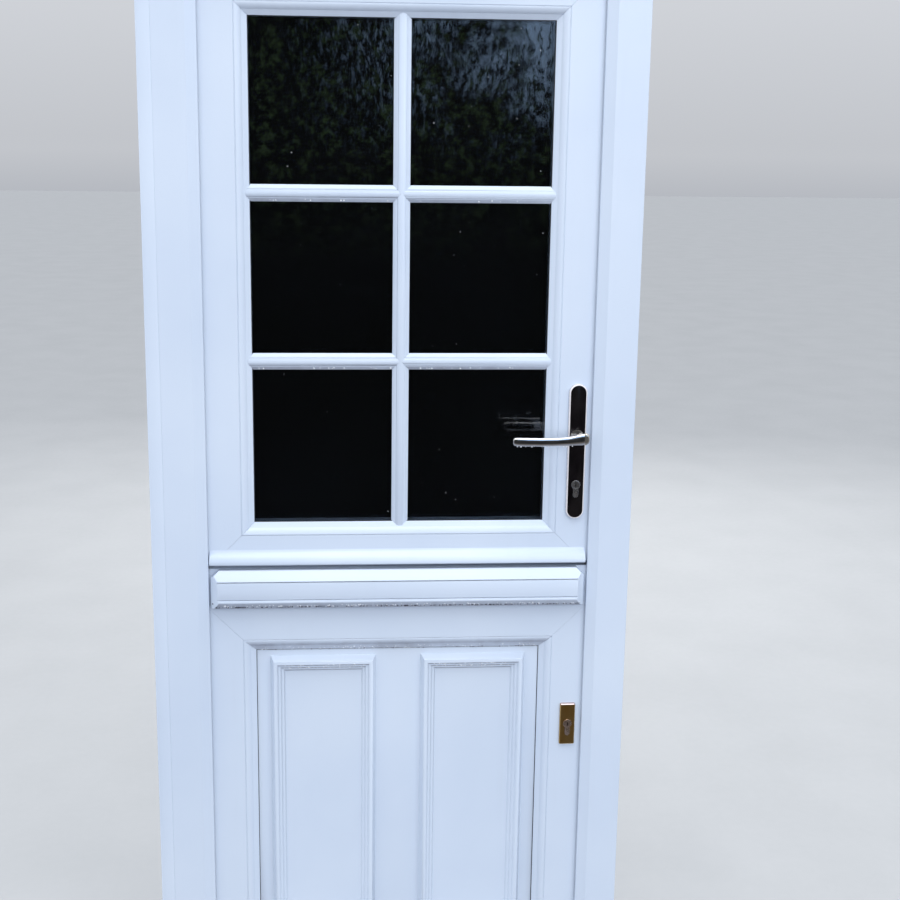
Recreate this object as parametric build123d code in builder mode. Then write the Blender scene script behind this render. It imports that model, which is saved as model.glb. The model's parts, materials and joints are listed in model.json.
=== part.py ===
from build123d import *
import math
import os

os.makedirs("parts", exist_ok=True)

# A stable door: a top leaf with six panes and a panelled lower leaf, hung one above the other in one
# welded frame. Millimetres. X runs to the right seen from outside, Y into the building, Z up.
# The origin is the middle of the frame's underside, half way through its depth.

# Frame
door_width = 900
door_height = 2110
extender_width = 25
frame_depth = 70
frame_face = 78
frame_chamfer_width = 19
frame_chamfer_depth = 9
leg_thickness = 17
rebate_width = 20
profile_wall = 3

# Leaves and the way they sit in the frame
leaf_depth = 70
leaf_face = 94
leaf_cover = 8
flange_cover = 8
seal_gap = 3
top_leaf_foot = 946
top_foot_face = 79
leaf_gap = 9
meeting_rail_height = 73

# Sculpted edge of the leaf profiles
moulded_width = 24
quirk_width = 1.2
quirk_depth = 0.8
roll_width = 12
roll_drop = 5
step_width = 0.6
step_drop = 1
sight_drop = 11
rebate_lip = 1.5
bead_width = 20

# Glass, panel and glazing bars
gasket_thickness = 1.5
inner_gasket = 0.5
pane_thickness = 4
unit_thickness = 28
glass_cover = 16
spacer_width = 7
bar_width = 31
bar_proud = 7
bar_bevel = 6.5
bar_edge = 1.2
bar_quirk = 0.8
bar_crown = 1.2
bar_reach = 18
rows_of_panes = 3
mitre_relief = 0.1

# Raised mouldings of the lower panel
mould_width = 203
mould_side_margin = 27
mould_top_margin = 14
mould_bottom_margin = 20
mould_proud = 18
mould_slope = 6
mould_crest = 7
mould_steps = 3
mould_step_width = 6.2
mould_step_depth = 4.3
mould_step_slope = 3

# Weather bar and drip rail
weather_height = 28
weather_proud = 14
drip_overlap = 1
drip_ledge = 12
drip_proud = 26
drip_bevel = 18
drip_roll = 20
drip_nose = 6
drip_undercut = 9
drip_end_slope = 15
drip_corner = 15
bar_end_gap = 2
drip_left_gap = 4
lock_end_gap = 4
drip_right_gap = 6

# Steel reinforcement
steel_wall = 2
steel_width = 37
steel_corner_gap = 5
frame_steel_width = 32
frame_steel_depth = 38

# Hinges
pin_radius = 5
pin_cap_radius = 7
pin_cap_height = 3
pin_clearance = 0.06
knuckle_radius = 8
hinge_height = 90
knuckle_height = 26
knuckle_gap = 1
hinge_offset = 5
hinge_plate = 4
hinge_reach = 15
hinge_from_end = 110
hinge_above_foot = 134
hinge_below_meeting = 147
hinge_above_sill = 130

# Locks and handles
backset = 35
lock_depth = 50
lock_thickness = 14
sheet = 1.5
faceplate_width = 16
faceplate_thickness = 2.5
lock_line = 35
follower_radius = 10
spindle_above_foot = 245
cylinder_drop = 92
spindle_side = 8
handle_width = 34
handle_length = 260
handle_thickness = 8
plate_rim = 2.5
handle_above_spindle = 101
handle_bolt_spacing = 215
handle_bolt_radius = 2.5
lever_length = 128
lever_reach = 53
lever_height = 15.5
lever_thickness = 9
lever_sag = 3
neck_radius = 8
collar_radius = 9.5
cylinder_radius = 8.5
lobe_radius = 5
lobe_drop = 19.5
plug_radius = 6.5
cam_radius = 8.3
cam_nose = 13
cam_width = 10.6
cylinder_proud = 2
key_slot_width = 1.8
key_slot_height = 8
key_slot_depth = 22
bolt_travel = 20
bolt_tail = 10
bolt_thickness = 10
bolt_height = 20
latch_height = 22
latch_above_spindle = 35
case_above_spindle = 59
case_below_cylinder = 37
strip_above_foot = 26
strip_below_top = 25
bolt_above_foot = 52
bolt_below_top = 80
lower_cylinder_height = 614
lower_bolt_drop = 36
lower_bolt_height = 18
lower_case_above = 34
lower_case_below = 62
escutcheon_width = 30
escutcheon_height = 87
escutcheon_thickness = 6
escutcheon_drop = 2
keep_thickness = 2
keep_width = 22

# Bolt that joins the two leaves
link_from_edge = 130
link_radius = 5
link_travel = 30
link_knob_room = 12
link_plate_width = 28
link_plate = 3
link_block_depth = 14
link_block_width = 16
link_block_height = 8
link_keep_height = 22
link_knob_radius = 3
link_knob_length = 13

# Fixings and fits
fixing_radius = 4
fixing_above_sill = 80
fixing_above_cylinder = 86
fixing_above_spindle = 139
fixing_below_top = 240
fixing_stagger = 25
screw_radius = 2.1
screw_head = 4
screw_length = 10
hole_clearance = 0.1
slide_clearance = 0.3
seal_clearance = 0.4
seat_gap = 0.1
through_over = 30

# Planes of the frame and the leaves, worked out from the sizes above
frame_left = -door_width / 2 + extender_width
frame_right = door_width / 2
frame_front = -frame_depth / 2
frame_back = frame_depth / 2
leg_back = frame_front + leg_thickness
rebate_wall = frame_face - rebate_width
opening_left = frame_left + frame_face
opening_right = frame_right - frame_face

leaf_front = leg_back + seal_gap
leaf_back = leaf_front + leaf_depth
flange_front = frame_back + seal_gap
flange_reach = rebate_width - leaf_cover + flange_cover
leaf_left = opening_left - leaf_cover
leaf_right = opening_right + leaf_cover
leaf_top = door_height - frame_face + leaf_cover
leaf_bottom = frame_face - leaf_cover
meeting_rail_top = top_leaf_foot - leaf_gap
lower_sash_top = meeting_rail_top - meeting_rail_height

sight_left = leaf_left + leaf_face
sight_right = leaf_right - leaf_face
top_sight = (top_leaf_foot + top_foot_face, leaf_top - leaf_face)
lower_sight = (leaf_bottom + leaf_face, lower_sash_top - leaf_face)
sight_width = sight_right - sight_left
sight_middle = (sight_left + sight_right) / 2

lip_back = leaf_front + sight_drop + rebate_lip
glass_front = lip_back + gasket_thickness
glass_back = glass_front + unit_thickness
rebate_floor = leaf_face - bead_width
glass_edge = leaf_face - glass_cover
steel_reach = rebate_floor - profile_wall - slide_clearance
frame_steel_inset = profile_wall + slide_clearance
steel_end = steel_reach + steel_corner_gap
frame_steel_end = frame_steel_inset + frame_steel_width + steel_corner_gap

hinge_heights = (leaf_top - hinge_from_end, top_leaf_foot + hinge_above_foot,
                 meeting_rail_top - hinge_below_meeting, leaf_bottom + hinge_above_sill)
spindle_height = top_leaf_foot + spindle_above_foot
bolt_heights = (top_leaf_foot + bolt_above_foot, leaf_top - bolt_below_top)
strip_bottom = top_leaf_foot + strip_above_foot
strip_top = leaf_top - strip_below_top
lock_fixing_heights = (leaf_bottom + fixing_above_sill, lower_cylinder_height + fixing_above_cylinder,
                       spindle_height + fixing_above_spindle, leaf_top - fixing_below_top)
hinge_fixing_heights = [z - fixing_stagger for z in lock_fixing_heights]
link_x = leaf_right - link_from_edge
lock_middle = leaf_front + lock_line
lock_x = leaf_right - backset
faceplate_x = leaf_right - faceplate_thickness
cylinder_height = spindle_height - cylinder_drop
hinge_x = frame_left + rebate_wall - flange_cover - knuckle_radius - 2
hinge_y = leaf_back + hinge_offset
bolt_length = bolt_travel + bolt_tail
link_guide_height = link_travel + 2 * link_block_height + 2 * link_knob_radius + link_knob_room


def inward(x, y, z):
    # A plane that faces into the building, with its own Y axis upright
    return Plane(origin=(x, y, z), x_dir=(-1, 0, 0), z_dir=(0, 1, 0))


def box_sketch(plane, low, high):
    # A rectangle between two corners of a plane
    with BuildSketch(plane) as sketch:
        with Locations(((low[0] + high[0]) / 2, (low[1] + high[1]) / 2)):
            Rectangle(high[0] - low[0], high[1] - low[1])
    return sketch.sketch


def polygon(plane, points):
    with BuildSketch(plane) as sketch:
        with BuildLine():
            Polyline(*points, close=True)
        make_face()
    return sketch.sketch


def ring_sides(left, right, bottom, top):
    # Where the four sides of a ring start: local X runs inwards from the outer edge, local Y is row Y
    return {
        "left": (Plane(origin=(left, 0, bottom), x_dir=(1, 0, 0), z_dir=(0, 0, 1)), top - bottom),
        "right": (Plane(origin=(right, 0, top), x_dir=(-1, 0, 0), z_dir=(0, 0, -1)), top - bottom),
        "top": (Plane(origin=(left, 0, top), x_dir=(0, 0, -1), z_dir=(1, 0, 0)), right - left),
        "bottom": (Plane(origin=(right, 0, bottom), x_dir=(0, 0, 1), z_dir=(-1, 0, 0)), right - left),
    }


def ring_outlines(left, right, bottom, top, face, flange=0, bottom_face=None, flat_top=False):
    # The mitred outline of each side of a ring, seen from the front
    foot = face if bottom_face is None else bottom_face
    in_left, in_right = left + face, right - face
    in_bottom, in_top = bottom + foot, top - face
    over = 0 if flat_top else flange
    under = flange if bottom_face is None else 0
    low_left = (left - under, bottom - under) if bottom_face is None else (in_left - foot, bottom)
    low_right = (right + under, bottom - under) if bottom_face is None else (in_right + foot, bottom)
    high_left, high_right = (left - over, top + over), (right + over, top + over)
    return {
        "left": [low_left, (in_left, in_bottom), (in_left, in_top), high_left,
                 (left - flange, high_left[1]), (left - flange, low_left[1])],
        "right": [low_right, (in_right, in_bottom), (in_right, in_top), high_right,
                  (right + flange, high_right[1]), (right + flange, low_right[1])],
        "top": [high_left, (in_left, in_top), (in_right, in_top), high_right],
        "bottom": [low_left, (in_left, in_bottom), (in_right, in_bottom), low_right],
    }


def without_repeats(points):
    return [p for n, p in enumerate(points) if p != points[n - 1]]


def trim(outline, reach):
    # A prism over an outline seen from the front, used to cut mitres
    return extrude(polygon(Plane.XZ, without_repeats(outline)), amount=reach, both=True,
                   mode=Mode.PRIVATE)


def frame_section(plane):
    with BuildSketch(plane) as sketch:
        with BuildLine():
            Polyline(
                (0, frame_front), (frame_face - frame_chamfer_width, frame_front),
                (frame_face, frame_front + frame_chamfer_depth), (frame_face, leg_back),
                (rebate_wall, leg_back), (rebate_wall, frame_back), (0, frame_back), close=True)
        make_face()
        for low, high in (
            ((profile_wall, frame_front + profile_wall), (rebate_wall, leg_back - profile_wall)),
            ((profile_wall, leg_back), (rebate_wall - profile_wall, frame_back - profile_wall)),
        ):
            with Locations(((low[0] + high[0]) / 2, (low[1] + high[1]) / 2)):
                Rectangle(high[0] - low[0], high[1] - low[1], mode=Mode.SUBTRACT)
    return sketch.sketch


def leaf_section(plane, edge=0, flange=True):
    # Outline of a leaf profile: flat face, quirk line, roll, step and slope down to the glass
    flat_end = leaf_face - moulded_width
    roll_start = flat_end + quirk_width
    roll_end = roll_start + roll_width
    low = leaf_front + roll_drop
    with BuildSketch(plane) as sketch:
        with BuildLine():
            Polyline((edge, leaf_front), (flat_end, leaf_front), (flat_end, leaf_front + quirk_depth),
                     (roll_start, leaf_front + quirk_depth), (roll_start, leaf_front))
            TangentArc((roll_start, leaf_front), (roll_end, low), tangent=(1, 0))
            Polyline((roll_end, low), (roll_end + step_width, low + step_drop),
                     (leaf_face, lip_back - rebate_lip), (leaf_face, lip_back),
                     (rebate_floor, lip_back), (rebate_floor, leaf_back))
            if flange:
                Polyline((rebate_floor, leaf_back), (-flange_reach, leaf_back),
                         (-flange_reach, flange_front), (0, flange_front), (0, leaf_front))
            else:
                Polyline((rebate_floor, leaf_back), (edge, leaf_back), (edge, leaf_front))
        make_face()
    return sketch.sketch


def leaf_chambers(plane, edge=0, flange=True):
    # The hollow chambers of a leaf profile, and the groove that takes a lock strip
    inner = edge + faceplate_thickness + sheet
    far = rebate_floor - profile_wall
    boxes = [
        ((edge + profile_wall, leaf_front + profile_wall), (far, lip_back - profile_wall / 2)),
        ((inner, lip_back + profile_wall / 2), (far, leaf_back - profile_wall)),
        ((edge, lock_middle - faceplate_width / 2),
         (edge + faceplate_thickness, lock_middle + faceplate_width / 2)),
    ]
    if flange:
        boxes.append(((profile_wall - flange_reach, flange_front + profile_wall),
                      (edge, leaf_back - profile_wall)))
    with BuildSketch(plane) as sketch:
        for low, high in boxes:
            with Locations(((low[0] + high[0]) / 2, (low[1] + high[1]) / 2)):
                Rectangle(high[0] - low[0], high[1] - low[1])
    return sketch.sketch


def euro_section(plane, clearance=0.0):
    # The keyhole-shaped outline of a profile cylinder
    with BuildSketch(plane) as sketch:
        Circle(cylinder_radius + clearance)
        with Locations((0, -lobe_drop / 2)):
            Rectangle(2 * (lobe_radius + clearance), lobe_drop)
        with Locations((0, -lobe_drop)):
            Circle(lobe_radius + clearance)
    return sketch.sketch


def save(part, name):
    part.label = name
    export_step(part, f"parts/{name}.step")


# Frame: four mitred lengths of one profile, drilled for the wall fixings
frame_sides = ring_sides(frame_left, frame_right, 0, door_height)
frame_outlines = ring_outlines(frame_left, frame_right, 0, door_height, frame_face)
frame_names = {"left": "frame_jamb_hinge_side", "right": "frame_jamb_lock_side",
               "top": "frame_head", "bottom": "frame_threshold"}
fixing_y = (leg_back + frame_back) / 2
hinge_screw_rows = (-hinge_height / 3, hinge_height / 3)
frame_screw_x = frame_left + 2 * screw_head + 6
leaf_plate_left = frame_left + rebate_wall - flange_cover + 2
leaf_screw_x = leaf_left + hinge_reach
keep_boxes = [(z, bolt_height) for z in bolt_heights]
keep_boxes.append((spindle_height + latch_above_spindle, latch_height))
keep_boxes.append((lower_cylinder_height - lower_bolt_drop, lower_bolt_height))
keep_x = frame_right - rebate_wall - keep_thickness

for side, name in frame_names.items():
    plane, length = frame_sides[side]
    with BuildPart() as frame_member:
        extrude(frame_section(plane), amount=length)
        add(trim(frame_outlines[side], frame_depth), mode=Mode.INTERSECT)
        if side in ("left", "right"):
            middle = frame_left if side == "left" else frame_right
            for z in hinge_fixing_heights if side == "left" else lock_fixing_heights:
                with Locations(Location((middle, fixing_y, z), (0, 90, 0))):
                    Cylinder(fixing_radius, 2 * frame_face, mode=Mode.SUBTRACT)
        if side == "left":
            for z in hinge_heights:
                for row in hinge_screw_rows:
                    with Locations(Location((frame_screw_x, frame_back, z + row), (90, 0, 0))):
                        Cylinder(screw_radius + hole_clearance, 2 * profile_wall + 1, mode=Mode.SUBTRACT)
        if side == "right":
            for z, height in keep_boxes:
                with Locations((frame_right - rebate_wall + 4, lock_middle, z)):
                    Box(2 * profile_wall + 3, bolt_thickness + 2 * slide_clearance + 2,
                        height + 2 * slide_clearance + 2, mode=Mode.SUBTRACT)
    save(frame_member.part, name)

# Extender clipped to the hinge side of the frame
with BuildPart() as frame_extender:
    with Locations((frame_left - extender_width / 2, 0, door_height / 2)):
        Box(extender_width, frame_depth, door_height)
        Box(extender_width - 2 * profile_wall, frame_depth - 2 * profile_wall, door_height,
            mode=Mode.SUBTRACT)
    for z in hinge_fixing_heights:
        with Locations(Location((frame_left - extender_width / 2, fixing_y, z), (0, 90, 0))):
            Cylinder(fixing_radius, 2 * extender_width, mode=Mode.SUBTRACT)
save(frame_extender.part, "frame_extender")

# Steel tubes inside the frame, stopped short of the welded corners
with BuildPart() as frame_steels:
    for side in frame_names:
        plane, length = frame_sides[side]
        start = plane.offset(frame_steel_end)
        low = (frame_steel_inset, fixing_y - frame_steel_depth / 2)
        high = (frame_steel_inset + frame_steel_width, fixing_y + frame_steel_depth / 2)
        extrude(box_sketch(start, low, high), amount=length - 2 * frame_steel_end)
        low_hole = (low[0] + steel_wall, low[1] + steel_wall)
        high_hole = (high[0] - steel_wall, high[1] - steel_wall)
        extrude(box_sketch(start, low_hole, high_hole), amount=length - 2 * frame_steel_end,
                mode=Mode.SUBTRACT)
    for x, heights in ((frame_left, hinge_fixing_heights), (frame_right, lock_fixing_heights)):
        for z in heights:
            with Locations(Location((x, fixing_y, z), (0, 90, 0))):
                Cylinder(fixing_radius, 2 * frame_face, mode=Mode.SUBTRACT)
save(frame_steels.part, "frame_steels")

# Soft seal on the back of the frame's leg, where the leaves close against it
seal_low = (rebate_wall + rebate_width - leaf_cover + 0.5, leg_back)
seal_high = (frame_face - 1, leaf_front - seal_clearance)
with BuildPart() as frame_seal:
    for side in frame_names:
        plane, length = frame_sides[side]
        strip = extrude(box_sketch(plane, seal_low, seal_high), amount=length, mode=Mode.PRIVATE)
        add(strip & trim(frame_outlines[side], frame_depth))
save(frame_seal.part, "frame_seal")

# Keeps on the lock jamb, with a hole for each bolt and the latch
with BuildPart() as lock_keeps:
    for z, height in keep_boxes:
        with Locations((keep_x + keep_thickness / 2, lock_middle, z)):
            Box(keep_thickness, keep_width, height + 30)
            Box(keep_thickness, bolt_thickness + 2 * slide_clearance + 2,
                height + 2 * slide_clearance + 2, mode=Mode.SUBTRACT)
save(lock_keeps.part, "lock_keeps")


def ring_steels(sides, edges, flange_y):
    # Steel channels inside a leaf, open towards its outer edge, stopped short of the corners
    pieces = []
    for side, (plane, length) in sides.items():
        edge = edges.get(side, 0)
        near = edge + faceplate_thickness + sheet + 6
        low_y, high_y = flange_y
        outer = box_sketch(plane.offset(steel_end), (near, low_y), (steel_reach, high_y))
        hollow = box_sketch(plane.offset(steel_end), (near, low_y + steel_wall),
                            (steel_reach - steel_wall, high_y - steel_wall))
        run = length - 2 * steel_end
        pieces.append(extrude(outer, amount=run, mode=Mode.PRIVATE)
                      - extrude(hollow, amount=run, mode=Mode.PRIVATE))
    return pieces


def gasket_ring(left, right, bottom, top, bottom_face=None):
    # Black gasket between the leaf's lip and the glass or panel, and a thin one behind it
    x0, x1 = left + leaf_face, right - leaf_face
    z0, z1 = bottom + (leaf_face if bottom_face is None else bottom_face), top - leaf_face
    rings = []
    for y0, y1, show, hide in ((lip_back, glass_front, 1, 10), (glass_back, glass_back + inner_gasket, 0, 10)):
        outer = extrude(box_sketch(Plane.XZ.offset(-y0), (x0 - hide, z0 - hide), (x1 + hide, z1 + hide)),
                        amount=y0 - y1, mode=Mode.PRIVATE)
        inner = extrude(box_sketch(Plane.XZ.offset(-y0), (x0 + show, z0 + show), (x1 - show, z1 - show)),
                        amount=y0 - y1, mode=Mode.PRIVATE)
        rings.append(outer - inner)
    return rings


def bead_section(plane):
    # Clip-in bead behind the glass, with a sloped face
    near, far = rebate_floor + seat_gap, leaf_face
    with BuildSketch(plane) as sketch:
        with BuildLine():
            Polyline((near, glass_back + inner_gasket), (far, glass_back + inner_gasket),
                     (far, glass_back + inner_gasket + 6), (near + 6, leaf_back), (near, leaf_back),
                     close=True)
        make_face()
    return sketch.sketch


# Hinges: the frame's half carries the outer two knuckles, the leaf's half the middle one
middle_knuckle = hinge_height - 2 * knuckle_height - 2 * knuckle_gap


def frame_hinge_half(z):
    with BuildPart() as half:
        plate_left, plate_right = frame_left + 6, hinge_x + 6
        with Locations(((plate_left + plate_right) / 2, frame_back + hinge_plate / 2, z)):
            Box(plate_right - plate_left, hinge_plate, hinge_height)
        for direction in (-1, 1):
            level = z + direction * (hinge_height - knuckle_height) / 2
            web = hinge_y - frame_back
            with Locations((hinge_x - 1, frame_back + web / 2, level)):
                Box(2 * knuckle_radius - 4, web, knuckle_height)
            with Locations((hinge_x, hinge_y, level)):
                Cylinder(knuckle_radius, knuckle_height)
        with Locations((hinge_x, hinge_y, z)):
            Cylinder(pin_radius + seat_gap / 2, hinge_height + 2, mode=Mode.SUBTRACT)
        for row in hinge_screw_rows:
            with Locations(Location((frame_screw_x, frame_back + hinge_plate, z + row), (90, 0, 0))):
                Cylinder(screw_radius + hole_clearance, 4 * hinge_plate, mode=Mode.SUBTRACT)
                Cylinder(screw_head + hole_clearance, hinge_plate, mode=Mode.SUBTRACT)
    return half.part


def leaf_hinge_half(z):
    with BuildPart() as half:
        plate_right = leaf_left + 2 * hinge_reach
        with Locations(((leaf_plate_left + plate_right) / 2, leaf_back + hinge_plate / 2, z)):
            Box(plate_right - leaf_plate_left, hinge_plate, hinge_height)
        arm_right = leaf_plate_left + 6
        with Locations(((hinge_x + arm_right) / 2, leaf_back + hinge_offset, z)):
            Box(arm_right - hinge_x, 2 * hinge_offset, middle_knuckle)
        with Locations((hinge_x, hinge_y, z)):
            Cylinder(knuckle_radius, middle_knuckle)
            Cylinder(pin_radius + pin_clearance, hinge_height, mode=Mode.SUBTRACT)
        for row in hinge_screw_rows:
            with Locations(Location((leaf_screw_x, leaf_back + hinge_plate, z + row), (90, 0, 0))):
                Cylinder(screw_radius + hole_clearance, 4 * hinge_plate, mode=Mode.SUBTRACT)
                Cylinder(screw_head + hole_clearance, hinge_plate, mode=Mode.SUBTRACT)
    return half.part


def screw(x, y, z, length=screw_length):
    # A screw driven outwards from inside the building, its flat head at y
    with BuildPart() as piece:
        with Locations(Location((x, y - hinge_plate / 4, z), (90, 0, 0))):
            Cylinder(screw_head, hinge_plate / 2)
        with Locations(Location((x, y - length / 2, z), (90, 0, 0))):
            Cylinder(screw_radius, length)
    return piece.part


with BuildPart() as frame_hinge_halves:
    for z in hinge_heights:
        add(frame_hinge_half(z))
save(frame_hinge_halves.part, "frame_hinge_halves")

with BuildPart() as hinge_pins:
    for z in hinge_heights:
        with Locations((hinge_x, hinge_y, z)):
            Cylinder(pin_radius, hinge_height + 2 * seat_gap)
        for direction in (-1, 1):
            with Locations((hinge_x, hinge_y,
                            z + direction * (hinge_height / 2 + seat_gap + pin_cap_height / 2))):
                Cylinder(pin_cap_radius, pin_cap_height)
save(hinge_pins.part, "hinge_pins")

with BuildPart() as frame_screws:
    for z in hinge_heights:
        for row in hinge_screw_rows:
            add(screw(frame_screw_x, frame_back + hinge_plate, z + row))
save(frame_screws.part, "frame_screws")


def leaf_member(side, plane, length, outline, edge, flange, lock=None, hinges=()):
    # One mitred length of leaf profile, with the cut-outs that its lock or hinges need
    reach = flange_reach if flange else 0
    start = plane.offset(-reach)
    run = length + 2 * reach
    with BuildPart() as member:
        extrude(leaf_section(start, edge, flange), amount=run)
        extrude(leaf_chambers(start, edge, flange), amount=run, mode=Mode.SUBTRACT)
        add(trim(outline, leaf_depth), mode=Mode.INTERSECT)
        if side == "right" and lock:
            for low, high in lock["cases"]:
                with Locations((leaf_right - faceplate_thickness, lock_middle, (low + high) / 2)):
                    Box(4 * sheet, lock_thickness + 2 * slide_clearance + 2 * sheet, high - low + 1,
                        mode=Mode.SUBTRACT)
            for cutter in lock["holes"]:
                add(cutter, mode=Mode.SUBTRACT)
        if side == "left":
            for z in hinges:
                for row in hinge_screw_rows:
                    with Locations(Location((leaf_screw_x, leaf_back, z + row), (90, 0, 0))):
                        Cylinder(screw_radius + hole_clearance, 2 * profile_wall + 1,
                                 mode=Mode.SUBTRACT)
    return member.part


def through_hole(x, z, radius):
    with BuildSketch(inward(x, leaf_front - through_over, z)) as sketch:
        Circle(radius)
    return extrude(sketch.sketch, amount=leaf_depth + 2 * through_over)


def through_euro(x, z, clearance):
    sketch = euro_section(inward(x, leaf_front - through_over, z), clearance)
    return extrude(sketch, amount=leaf_depth + 2 * through_over)


handle_top = spindle_height + handle_above_spindle
handle_middle = handle_top - handle_length / 2
handle_bolt_heights = [handle_middle + s * handle_bolt_spacing / 2 for s in (-1, 1)]
case_low = cylinder_height - case_below_cylinder
case_high = spindle_height + case_above_spindle
bolt_case_half = bolt_height / 2 + slide_clearance + sheet
lower_case = (lower_cylinder_height - lower_case_below, lower_cylinder_height + lower_case_above)

upper_lock = {
    "cases": [(case_low, case_high)] + [(z - bolt_case_half, z + bolt_case_half) for z in bolt_heights],
    "holes": [through_hole(lock_x, spindle_height, collar_radius + 0.5),
              through_euro(lock_x, cylinder_height, 0.5)]
    + [through_hole(lock_x, z, handle_bolt_radius + slide_clearance) for z in handle_bolt_heights],
}
lower_lock = {"cases": [lower_case], "holes": [through_euro(lock_x, lower_cylinder_height, 0.5)]}
steel_y = (lock_middle - steel_width / 2 + 7, lock_middle + steel_width / 2 + 7)

# Top leaf: four mitred profiles round the glass
top_sides = ring_sides(leaf_left, leaf_right, top_leaf_foot, leaf_top)
top_outlines = ring_outlines(leaf_left, leaf_right, top_leaf_foot, leaf_top, leaf_face,
                             flange_reach, bottom_face=top_foot_face)
top_names = {"left": "top_leaf_hinge_stile", "right": "top_leaf_lock_stile",
             "top": "top_leaf_head_rail", "bottom": "top_leaf_foot_rail"}
foot_shift = leaf_face - top_foot_face
top_foot_plane = Plane(origin=(leaf_right, 0, top_leaf_foot - foot_shift), x_dir=(0, 0, 1),
                       z_dir=(-1, 0, 0))
top_sides["bottom"] = (top_foot_plane, leaf_right - leaf_left)
top_members = {}
for side, name in top_names.items():
    plane, length = top_sides[side]
    top_members[side] = leaf_member(side, plane, length, top_outlines[side],
                                    foot_shift if side == "bottom" else 0, side != "bottom",
                                    upper_lock, hinge_heights[:2])
    save(top_members[side], name)

with BuildPart() as top_leaf_steels:
    for piece in ring_steels(top_sides, {"bottom": foot_shift}, steel_y):
        add(piece)
    for cutter in upper_lock["holes"]:
        add(cutter, mode=Mode.SUBTRACT)
save(top_leaf_steels.part, "top_leaf_steels")

# Sealed unit: two panes with a spacer between them
pane_x = (leaf_left + glass_edge, leaf_right - glass_edge)
pane_z = (top_sight[0] - glass_cover, top_sight[1] + glass_cover)
cavity = unit_thickness - 2 * pane_thickness
pane_size = (pane_x[1] - pane_x[0], pane_z[1] - pane_z[0])
pane_centre = ((pane_x[0] + pane_x[1]) / 2, (pane_z[0] + pane_z[1]) / 2)

with BuildPart() as outer_pane:
    with Locations((pane_centre[0], glass_front + pane_thickness / 2, pane_centre[1])):
        Box(pane_size[0], pane_thickness, pane_size[1])
save(outer_pane.part, "outer_pane")

with BuildPart() as inner_pane:
    with Locations((pane_centre[0], glass_back - pane_thickness / 2, pane_centre[1])):
        Box(pane_size[0], pane_thickness, pane_size[1])
save(inner_pane.part, "inner_pane")

with BuildPart() as pane_spacer:
    spacer_edge = glass_cover - spacer_width
    with Locations((pane_centre[0], glass_front + pane_thickness + cavity / 2, pane_centre[1])):
        Box(pane_size[0] - 2 * spacer_edge, cavity, pane_size[1] - 2 * spacer_edge)
        Box(pane_size[0] - 2 * glass_cover, cavity, pane_size[1] - 2 * glass_cover,
            mode=Mode.SUBTRACT)
save(pane_spacer.part, "pane_spacer")


def bar_section(plane, proud):
    # Raised glazing bar: bevelled sides, a quirk line each side and a crowned middle
    half = bar_width / 2
    shoulder = half - bar_bevel
    low = proud - bar_crown - bar_quirk
    with BuildSketch(plane) as sketch:
        with BuildLine():
            Polyline((-shoulder + 1.5, proud - bar_crown), (-shoulder + 1.5, low), (-shoulder, low),
                     (-half, bar_edge), (-half, 0), (half, 0), (half, bar_edge), (shoulder, low),
                     (shoulder - 1.5, low), (shoulder - 1.5, proud - bar_crown))
            ThreePointArc((shoulder - 1.5, proud - bar_crown), (0, proud),
                          (-shoulder + 1.5, proud - bar_crown))
        make_face()
    return sketch.sketch


def upright_plane(face_y, outwards):
    # Outwards is -1 on the outer face and +1 on the inner one
    return Plane(origin=(sight_middle, face_y, top_sight[0] - bar_reach),
                 x_dir=(outwards, 0, 0), z_dir=(0, 0, 1))


def cross_plane(face_y, outwards, z):
    return Plane(origin=(sight_left - bar_reach, face_y, z), x_dir=(0, 0, -outwards),
                 z_dir=(1, 0, 0))


pane_pitch = (top_sight[1] - top_sight[0]) / rows_of_panes
cross_heights = [top_sight[0] + pane_pitch * n for n in range(1, rows_of_panes)]
upright_run = top_sight[1] - top_sight[0] + 2 * bar_reach
cross_run = sight_width + 2 * bar_reach

# Behind the lip the bars stop at the edge of the opening, and in front they die into the moulding
with BuildPart() as behind_lip:
    with Locations((sight_middle, glass_front, (top_sight[0] + top_sight[1]) / 2)):
        Box(2 * cross_run, 2 * (glass_front - lip_back + 0.3), 2 * upright_run)
        Box(sight_width - 2.2, 4 * unit_thickness, top_sight[1] - top_sight[0] - 2.2,
            mode=Mode.SUBTRACT)

with BuildPart() as outer_upright_bar:
    extrude(bar_section(upright_plane(glass_front, -1), bar_proud), amount=upright_run)
    for side in ("top", "bottom"):
        add(top_members[side], mode=Mode.SUBTRACT)
    add(behind_lip.part, mode=Mode.SUBTRACT)
save(outer_upright_bar.part, "outer_upright_bar")

with BuildPart() as outer_cross_bars:
    for z in cross_heights:
        extrude(bar_section(cross_plane(glass_front, -1, z), bar_proud - mitre_relief),
                amount=cross_run)
    add(outer_upright_bar.part, mode=Mode.SUBTRACT)
    for side in ("left", "right"):
        add(top_members[side], mode=Mode.SUBTRACT)
    add(behind_lip.part, mode=Mode.SUBTRACT)
save(outer_cross_bars.part, "outer_cross_bars")

with BuildPart() as inner_upright:
    extrude(bar_section(upright_plane(glass_back, 1), bar_proud), amount=upright_run)

with BuildPart() as inner_cross:
    for z in cross_heights:
        extrude(bar_section(cross_plane(glass_back, 1, z), bar_proud - mitre_relief), amount=cross_run)
    add(inner_upright.part, mode=Mode.SUBTRACT)

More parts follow.
